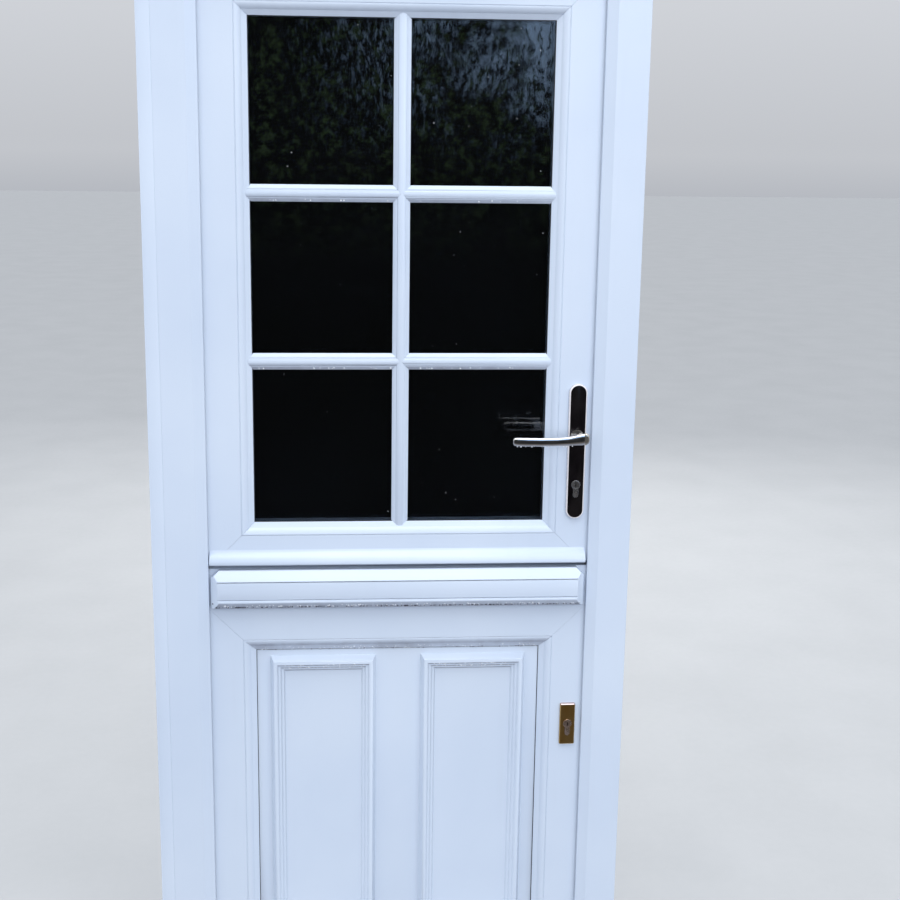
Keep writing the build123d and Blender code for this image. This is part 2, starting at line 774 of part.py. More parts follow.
inner_bars = []
for bars in (inner_upright, inner_cross):
    with BuildPart() as kept_bars:
        add(bars.part)
        with Locations((sight_middle, glass_back, (top_sight[0] + top_sight[1]) / 2)):
            Box(sight_width - 2 * slide_clearance, 4 * bar_proud,
                top_sight[1] - top_sight[0] - 2 * slide_clearance, mode=Mode.INTERSECT)
    inner_bars.extend(kept_bars.part.solids())
save(Compound(children=inner_bars), "inner_glazing_bars")


def bead_ring(sides, outlines):
    # Four mitred beads behind the glass or the panel
    beads = []
    for side, (plane, length) in sides.items():
        bead = extrude(bead_section(plane), amount=length, mode=Mode.PRIVATE)
        beads.append(bead & trim(outlines[side], leaf_depth))
    return beads


save(Compound(children=bead_ring(top_sides, top_outlines)), "top_leaf_beads")


def flange_seals(bottom, top, along):
    # Soft strips on a leaf's flange, where it closes over the inside of the frame
    x0 = frame_left + rebate_wall - 1
    x1 = frame_right - rebate_wall + 1
    wide = flange_cover - 2
    strips = [((x0 - wide, bottom), (x0, top)), ((x1, bottom), (x1 + wide, top))]
    strips.append(((x0, along), (x1, along + wide)))
    y0, y1 = frame_back + seal_clearance, flange_front
    return [extrude(box_sketch(Plane.XZ.offset(-y0), low, high), amount=y0 - y1, mode=Mode.PRIVATE)
            for low, high in strips]


# Rubber parts of the top leaf: glazing gaskets, flange seals and the brush between the leaves
head_seal = door_height - rebate_wall + 1
foot_seal = rebate_wall - 1 - (flange_cover - 2)
with BuildPart() as top_leaf_gaskets:
    for ring in gasket_ring(leaf_left, leaf_right, top_leaf_foot, leaf_top, top_foot_face):
        add(ring)
    for strip in flange_seals(top_leaf_foot, head_seal + flange_cover - 2, head_seal):
        add(strip)
    with Locations(((leaf_left + leaf_right) / 2, lock_middle,
                    (top_leaf_foot + meeting_rail_top + seal_clearance) / 2)):
        Box(leaf_right - leaf_left, lock_thickness, leaf_gap - seal_clearance)
save(top_leaf_gaskets.part, "top_leaf_gaskets")

# Weather bar across the foot of the top leaf, its face rising in an ogee
weather_front = leaf_front - weather_proud
weather_top = top_leaf_foot + weather_height
bar_left = opening_left + bar_end_gap
bar_right = opening_right - lock_end_gap
side_plane = Plane(origin=(bar_left, 0, 0), x_dir=(0, 1, 0), z_dir=(1, 0, 0))
with BuildPart() as weather_bar:
    with BuildSketch(side_plane):
        with BuildLine():
            Line((leaf_front, top_leaf_foot), (leaf_front, weather_top))
            ThreePointArc((leaf_front, weather_top),
                          (leaf_front - 0.1 * weather_proud, weather_top - 0.13 * weather_height),
                          (leaf_front - 0.3 * weather_proud, weather_top - 0.25 * weather_height))
            ThreePointArc((leaf_front - 0.3 * weather_proud, weather_top - 0.25 * weather_height),
                          (leaf_front - 0.76 * weather_proud, weather_top - 0.48 * weather_height),
                          (weather_front, weather_top - 0.78 * weather_height))
            Line((weather_front, weather_top - 0.78 * weather_height), (weather_front, top_leaf_foot + 3))
            ThreePointArc((weather_front, top_leaf_foot + 3), (weather_front + 0.9, top_leaf_foot + 0.9),
                          (weather_front + 3, top_leaf_foot))
            Line((weather_front + 3, top_leaf_foot), (leaf_front, top_leaf_foot))
        make_face()
    extrude(amount=bar_right - bar_left)
save(weather_bar.part, "weather_bar")

# Lower leaf: four mitred profiles round the panel
lower_sides = ring_sides(leaf_left, leaf_right, leaf_bottom, lower_sash_top)
lower_outlines = ring_outlines(leaf_left, leaf_right, leaf_bottom, lower_sash_top, leaf_face,
                               flange_reach, flat_top=True)
lower_names = {"left": "lower_leaf_hinge_stile", "right": "lower_leaf_lock_stile",
               "top": "lower_leaf_head_rail", "bottom": "lower_leaf_foot_rail"}
for side, name in lower_names.items():
    plane, length = lower_sides[side]
    save(leaf_member(side, plane, length, lower_outlines[side], 0, side != "top",
                     lower_lock, hinge_heights[2:]), name)

with BuildPart() as lower_leaf_steels:
    for piece in ring_steels(lower_sides, {}, steel_y):
        add(piece)
    for cutter in lower_lock["holes"]:
        add(cutter, mode=Mode.SUBTRACT)
save(lower_leaf_steels.part, "lower_leaf_steels")

# Panel with two raised and recessed mouldings on each face
panel_bottom = lower_sight[0] - glass_cover
panel_top = lower_sight[1] + glass_cover
mould_low = lower_sight[0] + mould_bottom_margin
mould_high = lower_sight[1] - mould_top_margin
mould_height = mould_high - mould_low
mould_z = (mould_low + mould_high) / 2
mould_centres = (sight_left + mould_side_margin + mould_width / 2,
                 sight_right - mould_side_margin - mould_width / 2)
with BuildPart() as lower_panel:
    with Locations((pane_centre[0], (glass_front + glass_back) / 2, (panel_bottom + panel_top) / 2)):
        Box(pane_size[0], unit_thickness, panel_top - panel_bottom)
    for face_y, outwards in ((glass_front, -1), (glass_back, 1)):
        base = Plane(origin=(0, face_y, 0), x_dir=(-outwards, 0, 0), z_dir=(0, outwards, 0))
        crest = base.offset(mould_proud)
        for x in mould_centres:
            with BuildSketch(base):
                with Locations((-outwards * x, mould_z)):
                    Rectangle(mould_width, mould_height)
            extrude(amount=mould_proud, taper=math.degrees(math.atan2(mould_slope, mould_proud)))
            for step in range(mould_steps):
                inset = mould_slope + mould_crest + step * mould_step_width
                with BuildSketch(crest.offset(-step * mould_step_depth)):
                    with Locations((-outwards * x, mould_z)):
                        Rectangle(mould_width - 2 * inset, mould_height - 2 * inset)
                extrude(amount=-mould_step_depth, mode=Mode.SUBTRACT,
                        taper=math.degrees(math.atan2(mould_step_slope, mould_step_depth)))
save(lower_panel.part, "lower_panel")

save(Compound(children=bead_ring(lower_sides, lower_outlines)), "lower_leaf_beads")

with BuildPart() as lower_leaf_gaskets:
    for ring in gasket_ring(leaf_left, leaf_right, leaf_bottom, lower_sash_top):
        add(ring)
    for strip in flange_seals(foot_seal, meeting_rail_top, foot_seal):
        add(strip)
save(lower_leaf_gaskets.part, "lower_leaf_gaskets")

# Meeting rail on top of the lower leaf, a hollow box with the leaf's flange carried up its ends
with BuildPart() as meeting_rail:
    middle_x = (leaf_left + leaf_right) / 2
    middle_z = lower_sash_top + meeting_rail_height / 2
    with Locations((middle_x, leaf_front + leaf_depth / 2, middle_z)):
        Box(leaf_right - leaf_left, leaf_depth, meeting_rail_height)
        Box(leaf_right - leaf_left - 2 * profile_wall, leaf_depth - 2 * profile_wall,
            meeting_rail_height - 2 * profile_wall, mode=Mode.SUBTRACT)
    for x in (leaf_left - flange_reach / 2, leaf_right + flange_reach / 2):
        with Locations((x, (flange_front + leaf_back) / 2, middle_z)):
            Box(flange_reach, leaf_back - flange_front, meeting_rail_height)
save(meeting_rail.part, "meeting_rail")

# Drip rail on the face of the meeting rail, with sloped ends and cut top corners
drip_front = leaf_front - drip_proud
drip_low = lower_sash_top - drip_overlap
drip_left = opening_left + drip_left_gap
drip_right = opening_right - drip_right_gap
bevel_low = meeting_rail_top - drip_bevel
roll_top = drip_low + drip_roll - quirk_width
with BuildPart() as drip_rail:
    with BuildSketch(Plane(origin=(drip_left, 0, 0), x_dir=(0, 1, 0), z_dir=(1, 0, 0))):
        with BuildLine():
            Polyline((leaf_front, drip_low), (leaf_front, meeting_rail_top),
                     (leaf_front - drip_ledge, meeting_rail_top), (drip_front, bevel_low),
                     (drip_front, bevel_low - quirk_width),
                     (drip_front + quirk_depth, bevel_low - quirk_width),
                     (drip_front + quirk_depth, bevel_low - 2 * quirk_width),
                     (drip_front, bevel_low - 2 * quirk_width),
                     (drip_front, drip_low + drip_roll), (drip_front + quirk_depth, drip_low + drip_roll),
                     (drip_front + quirk_depth, roll_top), (drip_front - 1, roll_top))
            ThreePointArc((drip_front - 1, roll_top), (drip_front - 2, roll_top - drip_nose / 2),
                          (drip_front - 1, roll_top - drip_nose))
            ThreePointArc((drip_front - 1, roll_top - drip_nose),
                          (drip_front + 0.35 * drip_undercut, (drip_low + roll_top - drip_nose) / 2),
                          (drip_front + drip_undercut, drip_low))
            Line((drip_front + drip_undercut, drip_low), (leaf_front, drip_low))
        make_face()
    extrude(amount=drip_right - drip_left)
    for x, turn in ((drip_left, 1), (drip_right, -1)):
        wedge = polygon(Plane.XY.offset(drip_low - 1), [
            (x - turn, leaf_front - drip_ledge), (x, leaf_front - drip_ledge),
            (x + turn * drip_end_slope, drip_front - 2), (x - turn, drip_front - 2)])
        extrude(wedge, amount=meeting_rail_top - drip_low + 2, mode=Mode.SUBTRACT)
        corner = polygon(Plane.XZ.offset(-leaf_front), [
            (x - turn, meeting_rail_top + 1), (x - turn, meeting_rail_top - drip_corner - 1),
            (x + turn * (drip_corner + 1), meeting_rail_top + 1)])
        extrude(corner, amount=drip_proud + 2, mode=Mode.SUBTRACT)
save(drip_rail.part, "drip_rail")

# Leaf halves of the hinges and their screws
with BuildPart() as top_leaf_hinge_halves:
    for z in hinge_heights[:2]:
        add(leaf_hinge_half(z))
save(top_leaf_hinge_halves.part, "top_leaf_hinge_halves")

with BuildPart() as lower_leaf_hinge_halves:
    for z in hinge_heights[2:]:
        add(leaf_hinge_half(z))
save(lower_leaf_hinge_halves.part, "lower_leaf_hinge_halves")

# Lever handle: the plates, the long bolts that clamp them, the levers and their square spindle

def handle_plate(face_y, outwards):
    # Rounded plate on one face of the leaf, with holes for the lever, the cylinder and the bolts
    base = Plane(origin=(lock_x, face_y, handle_middle), x_dir=(-outwards, 0, 0), z_dir=(0, outwards, 0))
    with BuildPart() as plate:
        with BuildSketch(base):
            SlotOverall(handle_length, handle_width, rotation=90)
        extrude(amount=handle_thickness)
        chamfer(plate.faces().sort_by(Axis.Y)[0 if outwards < 0 else -1].edges(), plate_rim)
        with Locations(Location((lock_x, face_y, spindle_height), (90, 0, 0))):
            Cylinder(collar_radius + hole_clearance / 2, 4 * handle_thickness, mode=Mode.SUBTRACT)
        add(through_euro(lock_x, cylinder_height, hole_clearance), mode=Mode.SUBTRACT)
        for z in handle_bolt_heights:
            depth = handle_thickness - 3 if outwards < 0 else 4 * handle_thickness
            middle = face_y + outwards * depth / 2
            with Locations(Location((lock_x, middle, z), (90, 0, 0))):
                Cylinder(handle_bolt_radius + hole_clearance, depth, mode=Mode.SUBTRACT)
            if outwards > 0:
                with Locations(Location((lock_x, face_y + handle_thickness, z), (90, 0, 0))):
                    Cylinder(screw_head + 1 + hole_clearance, 6, mode=Mode.SUBTRACT)
    return plate.part


save(handle_plate(leaf_front, -1), "outside_handle_plate")
save(handle_plate(leaf_back, 1), "inside_handle_plate")

with BuildPart() as top_leaf_screws:
    for z in hinge_heights[:2]:
        for row in hinge_screw_rows:
            add(screw(leaf_screw_x, leaf_back + hinge_plate, z + row))
    tip_y = leaf_front - handle_thickness + 3 + slide_clearance
    head_y = leaf_back + handle_thickness
    for z in handle_bolt_heights:
        with Locations(Location((lock_x, (tip_y + head_y - 3) / 2, z), (90, 0, 0))):
            Cylinder(handle_bolt_radius, head_y - 3 - tip_y)
        with Locations(Location((lock_x, head_y - 1.5, z), (90, 0, 0))):
            Cylinder(screw_head + 1, 3)
save(top_leaf_screws.part, "top_leaf_screws")

with BuildPart() as lower_leaf_screws:
    for z in hinge_heights[2:]:
        for row in hinge_screw_rows:
            add(screw(leaf_screw_x, leaf_back + hinge_plate, z + row))
save(lower_leaf_screws.part, "lower_leaf_screws")


def lever(face_y, outwards):
    # Straight neck out of the plate, and a flat grip with rounded edges that dips a little
    grip_y = face_y + outwards * lever_reach
    tip_x = lock_x - lever_length
    half = lever_height / 2
    z = spindle_height
    with BuildPart() as handle:
        with BuildSketch(Plane(origin=(0, grip_y - outwards * lever_thickness / 2, 0),
                               x_dir=(-outwards, 0, 0), z_dir=(0, outwards, 0))):
            with BuildLine():
                across = [(-outwards * x, level) for x, level in (
                    (lock_x, z + half), ((lock_x + tip_x) / 2, z + half - lever_sag),
                    (tip_x + half, z + half + 0.5), (tip_x, z), (tip_x + half, z - half + 0.5),
                    ((lock_x + tip_x) / 2, z - half - lever_sag + 1), (lock_x, z - half),
                    (lock_x + half, z))]
                ThreePointArc(*across[0:3])
                ThreePointArc(*across[2:5])
                ThreePointArc(*across[4:7])
                ThreePointArc(across[6], across[7], across[0])
            make_face()
        extrude(amount=lever_thickness)
        fillet(handle.edges(), lever_thickness / 3)
        neck_run = lever_reach
        with Locations(Location((lock_x, face_y + outwards * neck_run / 2, z), (90, 0, 0))):
            Cylinder(neck_radius - 0.5, neck_run)
        with Locations(Location((lock_x, face_y + outwards * (handle_thickness + 4) / 2, z), (90, 0, 0))):
            Cylinder(collar_radius, handle_thickness + 4)
        with Locations((lock_x, face_y + outwards * (neck_run - 10) / 2, z)):
            Box(spindle_side + 2 * hole_clearance, neck_run - 10, spindle_side + 2 * hole_clearance,
                mode=Mode.SUBTRACT)
    return handle.part


save(lever(leaf_front, -1), "outside_lever")
save(lever(leaf_back, 1), "inside_lever")

spindle_ends = (leaf_front - lever_reach + 10 + 1, leaf_back + lever_reach - 10 - 1)
with BuildPart() as spindle:
    with Locations((lock_x, (spindle_ends[0] + spindle_ends[1]) / 2, spindle_height)):
        Box(spindle_side, spindle_ends[1] - spindle_ends[0], spindle_side)
save(spindle.part, "spindle")

with BuildPart() as lock_follower:
    with Locations(Location((lock_x, lock_middle, spindle_height), (90, 0, 0))):
        Cylinder(follower_radius, lock_thickness)
    with Locations((lock_x, lock_middle, spindle_height)):
        Box(spindle_side + 2 * hole_clearance, 2 * lock_thickness, spindle_side + 2 * hole_clearance,
            mode=Mode.SUBTRACT)
save(lock_follower.part, "lock_follower")

# Lock case of the top leaf: a thin box with holes for the follower and the cylinder
case_x = (leaf_right - lock_depth, faceplate_x)


def lock_case(low, high, cylinder_z, spindle_z=None):
    with BuildPart() as case:
        with Locations(((case_x[0] + case_x[1]) / 2, lock_middle, (low + high) / 2)):
            Box(case_x[1] - case_x[0], lock_thickness, high - low)
        with Locations(((case_x[0] + case_x[1]) / 2 + sheet / 2, lock_middle, (low + high) / 2)):
            Box(case_x[1] - case_x[0] - sheet, lock_thickness - 2 * sheet, high - low - 2 * sheet,
                mode=Mode.SUBTRACT)
        add(through_euro(lock_x, cylinder_z, hole_clearance), mode=Mode.SUBTRACT)
        if spindle_z:
            with Locations(Location((lock_x, lock_middle, spindle_z), (90, 0, 0))):
                Cylinder(follower_radius + hole_clearance / 2, 2 * lock_thickness, mode=Mode.SUBTRACT)
    return case.part


save(lock_case(case_low, case_high, cylinder_height, spindle_height), "upper_lock_case")

latch_z = spindle_height + latch_above_spindle
with BuildPart() as upper_lock_strip:
    with Locations((faceplate_x + faceplate_thickness / 2, lock_middle, (strip_bottom + strip_top) / 2)):
        Box(faceplate_thickness, faceplate_width, strip_top - strip_bottom)
    for z in bolt_heights:
        with Locations(((case_x[0] + case_x[1]) / 2, lock_middle, z)):
            Box(case_x[1] - case_x[0], bolt_thickness + 2 * slide_clearance + 2 * sheet,
                2 * bolt_case_half)
        with Locations(((case_x[0] + leaf_right) / 2 + sheet, lock_middle, z)):
            Box(leaf_right - case_x[0], bolt_thickness + 2 * slide_clearance,
                bolt_height + 2 * slide_clearance, mode=Mode.SUBTRACT)
    with Locations((faceplate_x, lock_middle, latch_z)):
        Box(4 * faceplate_thickness, bolt_thickness + 2 * slide_clearance,
            latch_height + 2 * slide_clearance, mode=Mode.SUBTRACT)
save(upper_lock_strip.part, "upper_lock_strip")

with BuildPart() as upper_bolts:
    for z in bolt_heights:
        with Locations((leaf_right - bolt_length / 2, lock_middle, z)):
            Box(bolt_length, bolt_thickness, bolt_height)
    ends = upper_bolts.faces().filter_by(Axis.X).sort_by(Axis.X)[-2:]
    chamfer(ends.edges().filter_by(Axis.Y), 3)
save(upper_bolts.part, "upper_bolts")

with BuildPart() as upper_latch:
    with Locations((leaf_right - bolt_length / 2, lock_middle, latch_z)):
        Box(bolt_length, bolt_thickness, latch_height)
    nose = upper_latch.edges().filter_by(Axis.Z).sort_by(Axis.X)[-2:].sort_by(Axis.Y)[-1]
    chamfer(nose, bolt_thickness - 2)
save(upper_latch.part, "upper_latch")


def profile_cylinder(z, ends):
    # Lock cylinder with a bore for its plugs and a gap for the cam half way along
    with BuildPart() as body:
        extrude(euro_section(inward(lock_x, ends[0], z)), amount=ends[1] - ends[0])
        with Locations(Location((lock_x, lock_middle, z), (90, 0, 0))):
            Cylinder(plug_radius + hole_clearance / 2, 2 * leaf_depth, mode=Mode.SUBTRACT)
            Cylinder(cam_nose + 0.5, cam_width + 2 * slide_clearance, mode=Mode.SUBTRACT)
    return body.part


def cylinder_plug(z, ends):
    # Outside and inside plugs with key slots, and the cam between them
    cam_half = cam_width / 2
    pieces = ((ends[0], lock_middle - cam_half), (lock_middle + cam_half, ends[1]))
    with BuildPart() as plug:
        for low, high in pieces:
            with Locations(Location((lock_x, (low + high) / 2, z), (90, 0, 0))):
                Cylinder(plug_radius, high - low)
        with Locations(Location((lock_x, lock_middle, z), (90, 0, 0))):
            Cylinder(cam_radius, cam_width)
        with Locations((lock_x, lock_middle, z - cam_nose / 2)):
            Box(6, cam_width, cam_nose - 0.5)
        for y in ends:
            with Locations((lock_x, y, z - 1)):
                Box(key_slot_width, 2 * key_slot_depth, key_slot_height, mode=Mode.SUBTRACT)
    return plug.part


upper_ends = (leaf_front - handle_thickness - cylinder_proud, leaf_back + handle_thickness + cylinder_proud)
lower_ends = (leaf_front - escutcheon_thickness - cylinder_proud,
              leaf_back + escutcheon_thickness + cylinder_proud)
save(profile_cylinder(cylinder_height, upper_ends), "upper_cylinder")
save(cylinder_plug(cylinder_height, upper_ends), "upper_cylinder_plug")
save(profile_cylinder(lower_cylinder_height, lower_ends), "lower_cylinder")
save(cylinder_plug(lower_cylinder_height, lower_ends), "lower_cylinder_plug")

# Deadlock of the lower leaf, with its own short faceplate
with BuildPart() as lower_lock:
    add(lock_case(lower_case[0], lower_case[1], lower_cylinder_height))
    with Locations((faceplate_x + faceplate_thickness / 2, lock_middle, sum(lower_case) / 2)):
        Box(faceplate_thickness, faceplate_width, lower_case[1] - lower_case[0] + 30)
    with Locations((faceplate_x, lock_middle, lower_cylinder_height - lower_bolt_drop)):
        Box(4 * faceplate_thickness, bolt_thickness + 2 * slide_clearance,
            lower_bolt_height + 2 * slide_clearance, mode=Mode.SUBTRACT)
save(lower_lock.part, "lower_lock_case")

with BuildPart() as lower_bolt:
    with Locations((leaf_right - bolt_length / 2, lock_middle, lower_cylinder_height - lower_bolt_drop)):
        Box(bolt_length, bolt_thickness, lower_bolt_height)
save(lower_bolt.part, "lower_bolt")

with BuildPart() as escutcheons:
    for face_y, outwards in ((leaf_front, -1), (leaf_back, 1)):
        with Locations((lock_x, face_y + outwards * escutcheon_thickness / 2,
                        lower_cylinder_height - escutcheon_drop)):
            Box(escutcheon_width, escutcheon_thickness, escutcheon_height)
    rims = [escutcheons.faces().sort_by(Axis.Y)[n].edges() for n in (0, -1)]
    chamfer(rims[0] + rims[1], 1.5)
    add(through_euro(lock_x, lower_cylinder_height, hole_clearance), mode=Mode.SUBTRACT)
save(escutcheons.part, "escutcheons")

# Slide bolt inside the building that joins the top leaf to the lower one
link_y = leaf_back + link_plate + link_block_depth / 2
guide_low = top_leaf_foot + 8
with BuildPart() as leaf_bolt_guide:
    with Locations((link_x, leaf_back + link_plate / 2, guide_low + link_guide_height / 2)):
        Box(link_plate_width, link_plate, link_guide_height)
    for z in (guide_low + link_block_height / 2 + 2, guide_low + link_guide_height - link_block_height / 2):
        with Locations((link_x, link_y, z)):
            Box(link_block_width, link_block_depth, link_block_height)
    with Locations((link_x, link_y, guide_low)):
        Cylinder(link_radius + pin_clearance, 3 * link_guide_height, mode=Mode.SUBTRACT)
save(leaf_bolt_guide.part, "leaf_bolt_guide")

bolt_top = guide_low + link_guide_height + 3
with BuildPart() as leaf_bolt:
    with Locations((link_x, link_y, (guide_low + bolt_top) / 2)):
        Cylinder(link_radius, bolt_top - guide_low)
    knob_z = guide_low + link_guide_height - link_block_height - link_knob_radius - 1
    knob_y = link_y + link_radius + link_knob_length / 2
    with Locations(Location((link_x, knob_y - 2, knob_z), (90, 0, 0))):
        Cylinder(link_knob_radius, link_knob_length + 4)
save(leaf_bolt.part, "leaf_bolt")

keep_top = meeting_rail_top - 2
with BuildPart() as leaf_bolt_keep:
    with Locations((link_x, leaf_back + link_plate / 2, keep_top - link_keep_height / 2)):
        Box(link_plate_width, link_plate, link_keep_height)
    with Locations((link_x, link_y, keep_top - link_keep_height / 2)):
        Box(link_block_width, link_block_depth, link_keep_height)
        Cylinder(link_radius + slide_clearance, 2 * link_keep_height, mode=Mode.SUBTRACT)
save(leaf_bolt_keep.part, "leaf_bolt_keep")
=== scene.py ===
import json
import math
import random

import bmesh
import bpy
from mathutils import Matrix, Vector
from mathutils.bvhtree import BVHTree

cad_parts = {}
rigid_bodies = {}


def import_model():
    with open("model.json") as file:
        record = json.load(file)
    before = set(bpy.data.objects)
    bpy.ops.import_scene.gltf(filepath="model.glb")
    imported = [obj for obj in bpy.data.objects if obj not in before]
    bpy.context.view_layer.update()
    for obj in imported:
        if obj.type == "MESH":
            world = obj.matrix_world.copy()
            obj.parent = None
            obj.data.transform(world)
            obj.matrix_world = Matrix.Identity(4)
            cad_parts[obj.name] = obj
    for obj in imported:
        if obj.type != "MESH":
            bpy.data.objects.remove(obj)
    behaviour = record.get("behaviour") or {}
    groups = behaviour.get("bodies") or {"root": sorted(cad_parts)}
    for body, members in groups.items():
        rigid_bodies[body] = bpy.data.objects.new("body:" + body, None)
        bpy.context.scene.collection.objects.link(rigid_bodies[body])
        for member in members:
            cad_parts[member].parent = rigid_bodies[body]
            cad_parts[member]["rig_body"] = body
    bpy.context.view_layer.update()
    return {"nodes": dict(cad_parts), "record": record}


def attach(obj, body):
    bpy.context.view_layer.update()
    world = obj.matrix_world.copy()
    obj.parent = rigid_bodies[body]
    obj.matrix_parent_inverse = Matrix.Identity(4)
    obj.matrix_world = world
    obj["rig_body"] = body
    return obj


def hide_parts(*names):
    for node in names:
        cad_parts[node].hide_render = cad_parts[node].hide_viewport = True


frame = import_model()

nodes = frame["nodes"]
scene = bpy.context.scene
mm = 0.001
print("frame loaded with", len(nodes), "nodes")


# A socket that takes part in sums, so that shader maths reads as plain expressions
class Wire:
    def __init__(self, finish, socket):
        self.finish = finish
        self.socket = socket

    def combine(self, operation, first, second):
        return self.finish.node("ShaderNodeMath", {"operation": operation},
                                {0: first, 1: second})

    def __add__(self, other):
        return self.combine("ADD", self, other)

    def __radd__(self, other):
        return self.combine("ADD", other, self)

    def __mul__(self, other):
        return self.combine("MULTIPLY", self, other)

    def __rmul__(self, other):
        return self.combine("MULTIPLY", other, self)


# A material or world whose nodes are added one call at a time
class Finish:
    def __init__(self, owner, coordinate="Object"):
        self.owner = owner
        self.owner.use_nodes = True
        self.tree = self.owner.node_tree
        self.tree.nodes.clear()
        self.place = self.node("ShaderNodeTexCoord", output=coordinate)

    def node(self, kind, settings=None, inputs=None, output=0):
        made = self.tree.nodes.new(kind)
        for name, value in (settings or {}).items():
            setattr(made, name, value)
        for name, value in (inputs or {}).items():
            if isinstance(value, Wire):
                self.tree.links.new(value.socket, made.inputs[name])
            else:
                made.inputs[name].default_value = value
        return Wire(self, made.outputs[output])

    def noise(self, scale, detail=3, stretch=(1, 1, 1), roughness=0.5):
        spot = self.place
        if stretch != (1, 1, 1):
            spot = self.node("ShaderNodeMapping", None,
                             {"Vector": self.place, "Scale": stretch})
        return self.node("ShaderNodeTexNoise", None,
                         {"Vector": spot, "Scale": scale, "Detail": detail,
                          "Roughness": roughness})

    def between(self, value, low, high, toLow=0.0, toHigh=1.0):
        return self.node("ShaderNodeMapRange", {"clamp": True},
                         {0: value, 1: low, 2: high, 3: toLow, 4: toHigh})

    def mix(self, factor, first, second):
        return self.node("ShaderNodeMix", {"data_type": "RGBA"},
                         {0: factor, 6: first, 7: second}, output=2)

    def bump(self, height, strength, distance):
        return self.node("ShaderNodeBump", None,
                         {"Height": height, "Strength": strength, "Distance": distance})

    def along(self, axis, vector=None):
        return self.node("ShaderNodeSeparateXYZ", None, {0: vector or self.place}, output=axis)

    def facingUp(self):
        return self.along("Z", self.node("ShaderNodeNewGeometry", output="Normal"))

    def principled(self, inputs):
        return self.finishWith(self.node("ShaderNodeBsdfPrincipled", None, inputs))

    def finishWith(self, shader, output="ShaderNodeOutputMaterial"):
        out = self.tree.nodes.new(output)
        self.tree.links.new(shader.socket, out.inputs["Surface"])
        return self.owner


def newFinish(name):
    return Finish(bpy.data.materials.new(name))


def tint(red, green, blue):
    return (red, green, blue, 1)


# White plastic: faintly clouded and streaked, and darker where it faces down, a patchy painted
# shade that weakens high up
plasticLook = {"base": tint(0.66, 0.745, 0.865), "shade": tint(0.60, 0.69, 0.825),
               "grime": tint(0.36, 0.40, 0.42), "damp": tint(0.20, 0.19, 0.24),
               "cloudScale": 2.2, "streakStretch": (38, 38, 1.6), "speckScale": 260,
               "patchScale": 5.5, "streakShare": 0.10, "speckShare": 0.16,
               "facingDown": (-0.08, -0.60), "dampScale": 60, "dampShare": (0.36, 0.58),
               "driesBetween": (1.5, 1.95), "dryShare": 0.3,
               "roughness": 0.30, "fineRough": 0.03, "patchRough": 0.10,
               "fineScale": 900, "wavyScale": 7, "fineHeight": 0.15,
               "bumpStrength": 0.05, "bumpSize": 0.0006}


def plasticFinish():
    look = plasticLook
    f = newFinish("whitePlastic")
    cloudy = f.noise(look["cloudScale"], 4)
    streaks = f.between(f.noise(1.0, 5, look["streakStretch"]), 0.55, 0.78)
    specks = f.between(f.noise(look["speckScale"], 2), 0.70, 0.80)
    patches = f.between(f.noise(look["patchScale"], 6), 0.50, 0.72)
    colour = f.mix(f.between(cloudy, 0.35, 0.65), look["base"], look["shade"])
    colour = f.mix(streaks * patches * look["streakShare"], colour, look["grime"])
    colour = f.mix(specks * patches * look["speckShare"], colour, look["grime"])
    # Painted shade: faces that look down are darkened towards grey-mauve in patches, less so high
    # on the door
    under = f.between(f.facingUp(), *look["facingDown"])
    damp = f.between(f.noise(look["dampScale"], 4), 0.3, 0.7, *look["dampShare"])
    lower = f.between(f.along("Z"), *look["driesBetween"], 1.0, look["dryShare"])
    colour = f.mix(under * damp * lower, colour, look["damp"])
    fine = f.noise(look["fineScale"], 2)
    wavy = f.noise(look["wavyScale"], 2)
    roughness = f.between(fine, 0.3, 0.7, -look["fineRough"], look["fineRough"]) \
        + patches * look["patchRough"] + look["roughness"]
    normal = f.bump(fine * look["fineHeight"] + wavy, look["bumpStrength"], look["bumpSize"])
    return f.principled({"Base Color": colour, "Roughness": roughness, "Normal": normal,
                         "IOR": 1.5})


# Metals: bright and dull colour, least roughness, size and roughness of the dull spots, depth
# of the brushing, and a painted highlight colour for faces that look up
metalLooks = {
    "zincSteel": {"bright": (0.50, 0.51, 0.53), "dull": (0.36, 0.37, 0.40), "rough": 0.30,
                  "spotScale": 30, "spotRough": 0.12, "grain": 0.12},
    "pinSteel": {"bright": (0.55, 0.56, 0.58), "dull": (0.42, 0.43, 0.45), "rough": 0.22,
                 "spotScale": 40, "spotRough": 0.10},
    "chrome": {"bright": (0.86, 0.83, 0.83), "dull": (0.74, 0.71, 0.71), "rough": 0.05,
               "spotScale": 60, "spotRough": 0.05},
    "brushedNeck": {"bright": (0.66, 0.61, 0.53), "dull": (0.46, 0.42, 0.36), "rough": 0.24,
                    "spotScale": 70, "spotRough": 0.10, "grain": 0.2},
    "polishedBrass": {"bright": (0.68, 0.44, 0.17), "dull": (0.58, 0.33, 0.09), "rough": 0.12,
                      "spotScale": 36, "spotRough": 0.05, "upper": (0.66, 0.52, 0.50)},
    "cylinderBrass": {"bright": (0.60, 0.46, 0.38), "dull": (0.44, 0.32, 0.26), "rough": 0.22,
                      "spotScale": 90, "spotRough": 0.12},
    "nickel": {"bright": (0.52, 0.50, 0.50), "dull": (0.36, 0.35, 0.35), "rough": 0.20,
               "spotScale": 90, "spotRough": 0.12}}
# What all the metals share: brushing, fine marks and the range of facing up over which the
# painted top highlight comes in
metalGrain = {"stretch": (900, 900, 60), "plainScale": 420, "leastBump": 0.05,
              "bumpSize": 0.0002, "markScale": 7, "markRough": 0.5, "facingUp": (0.25, 0.7)}


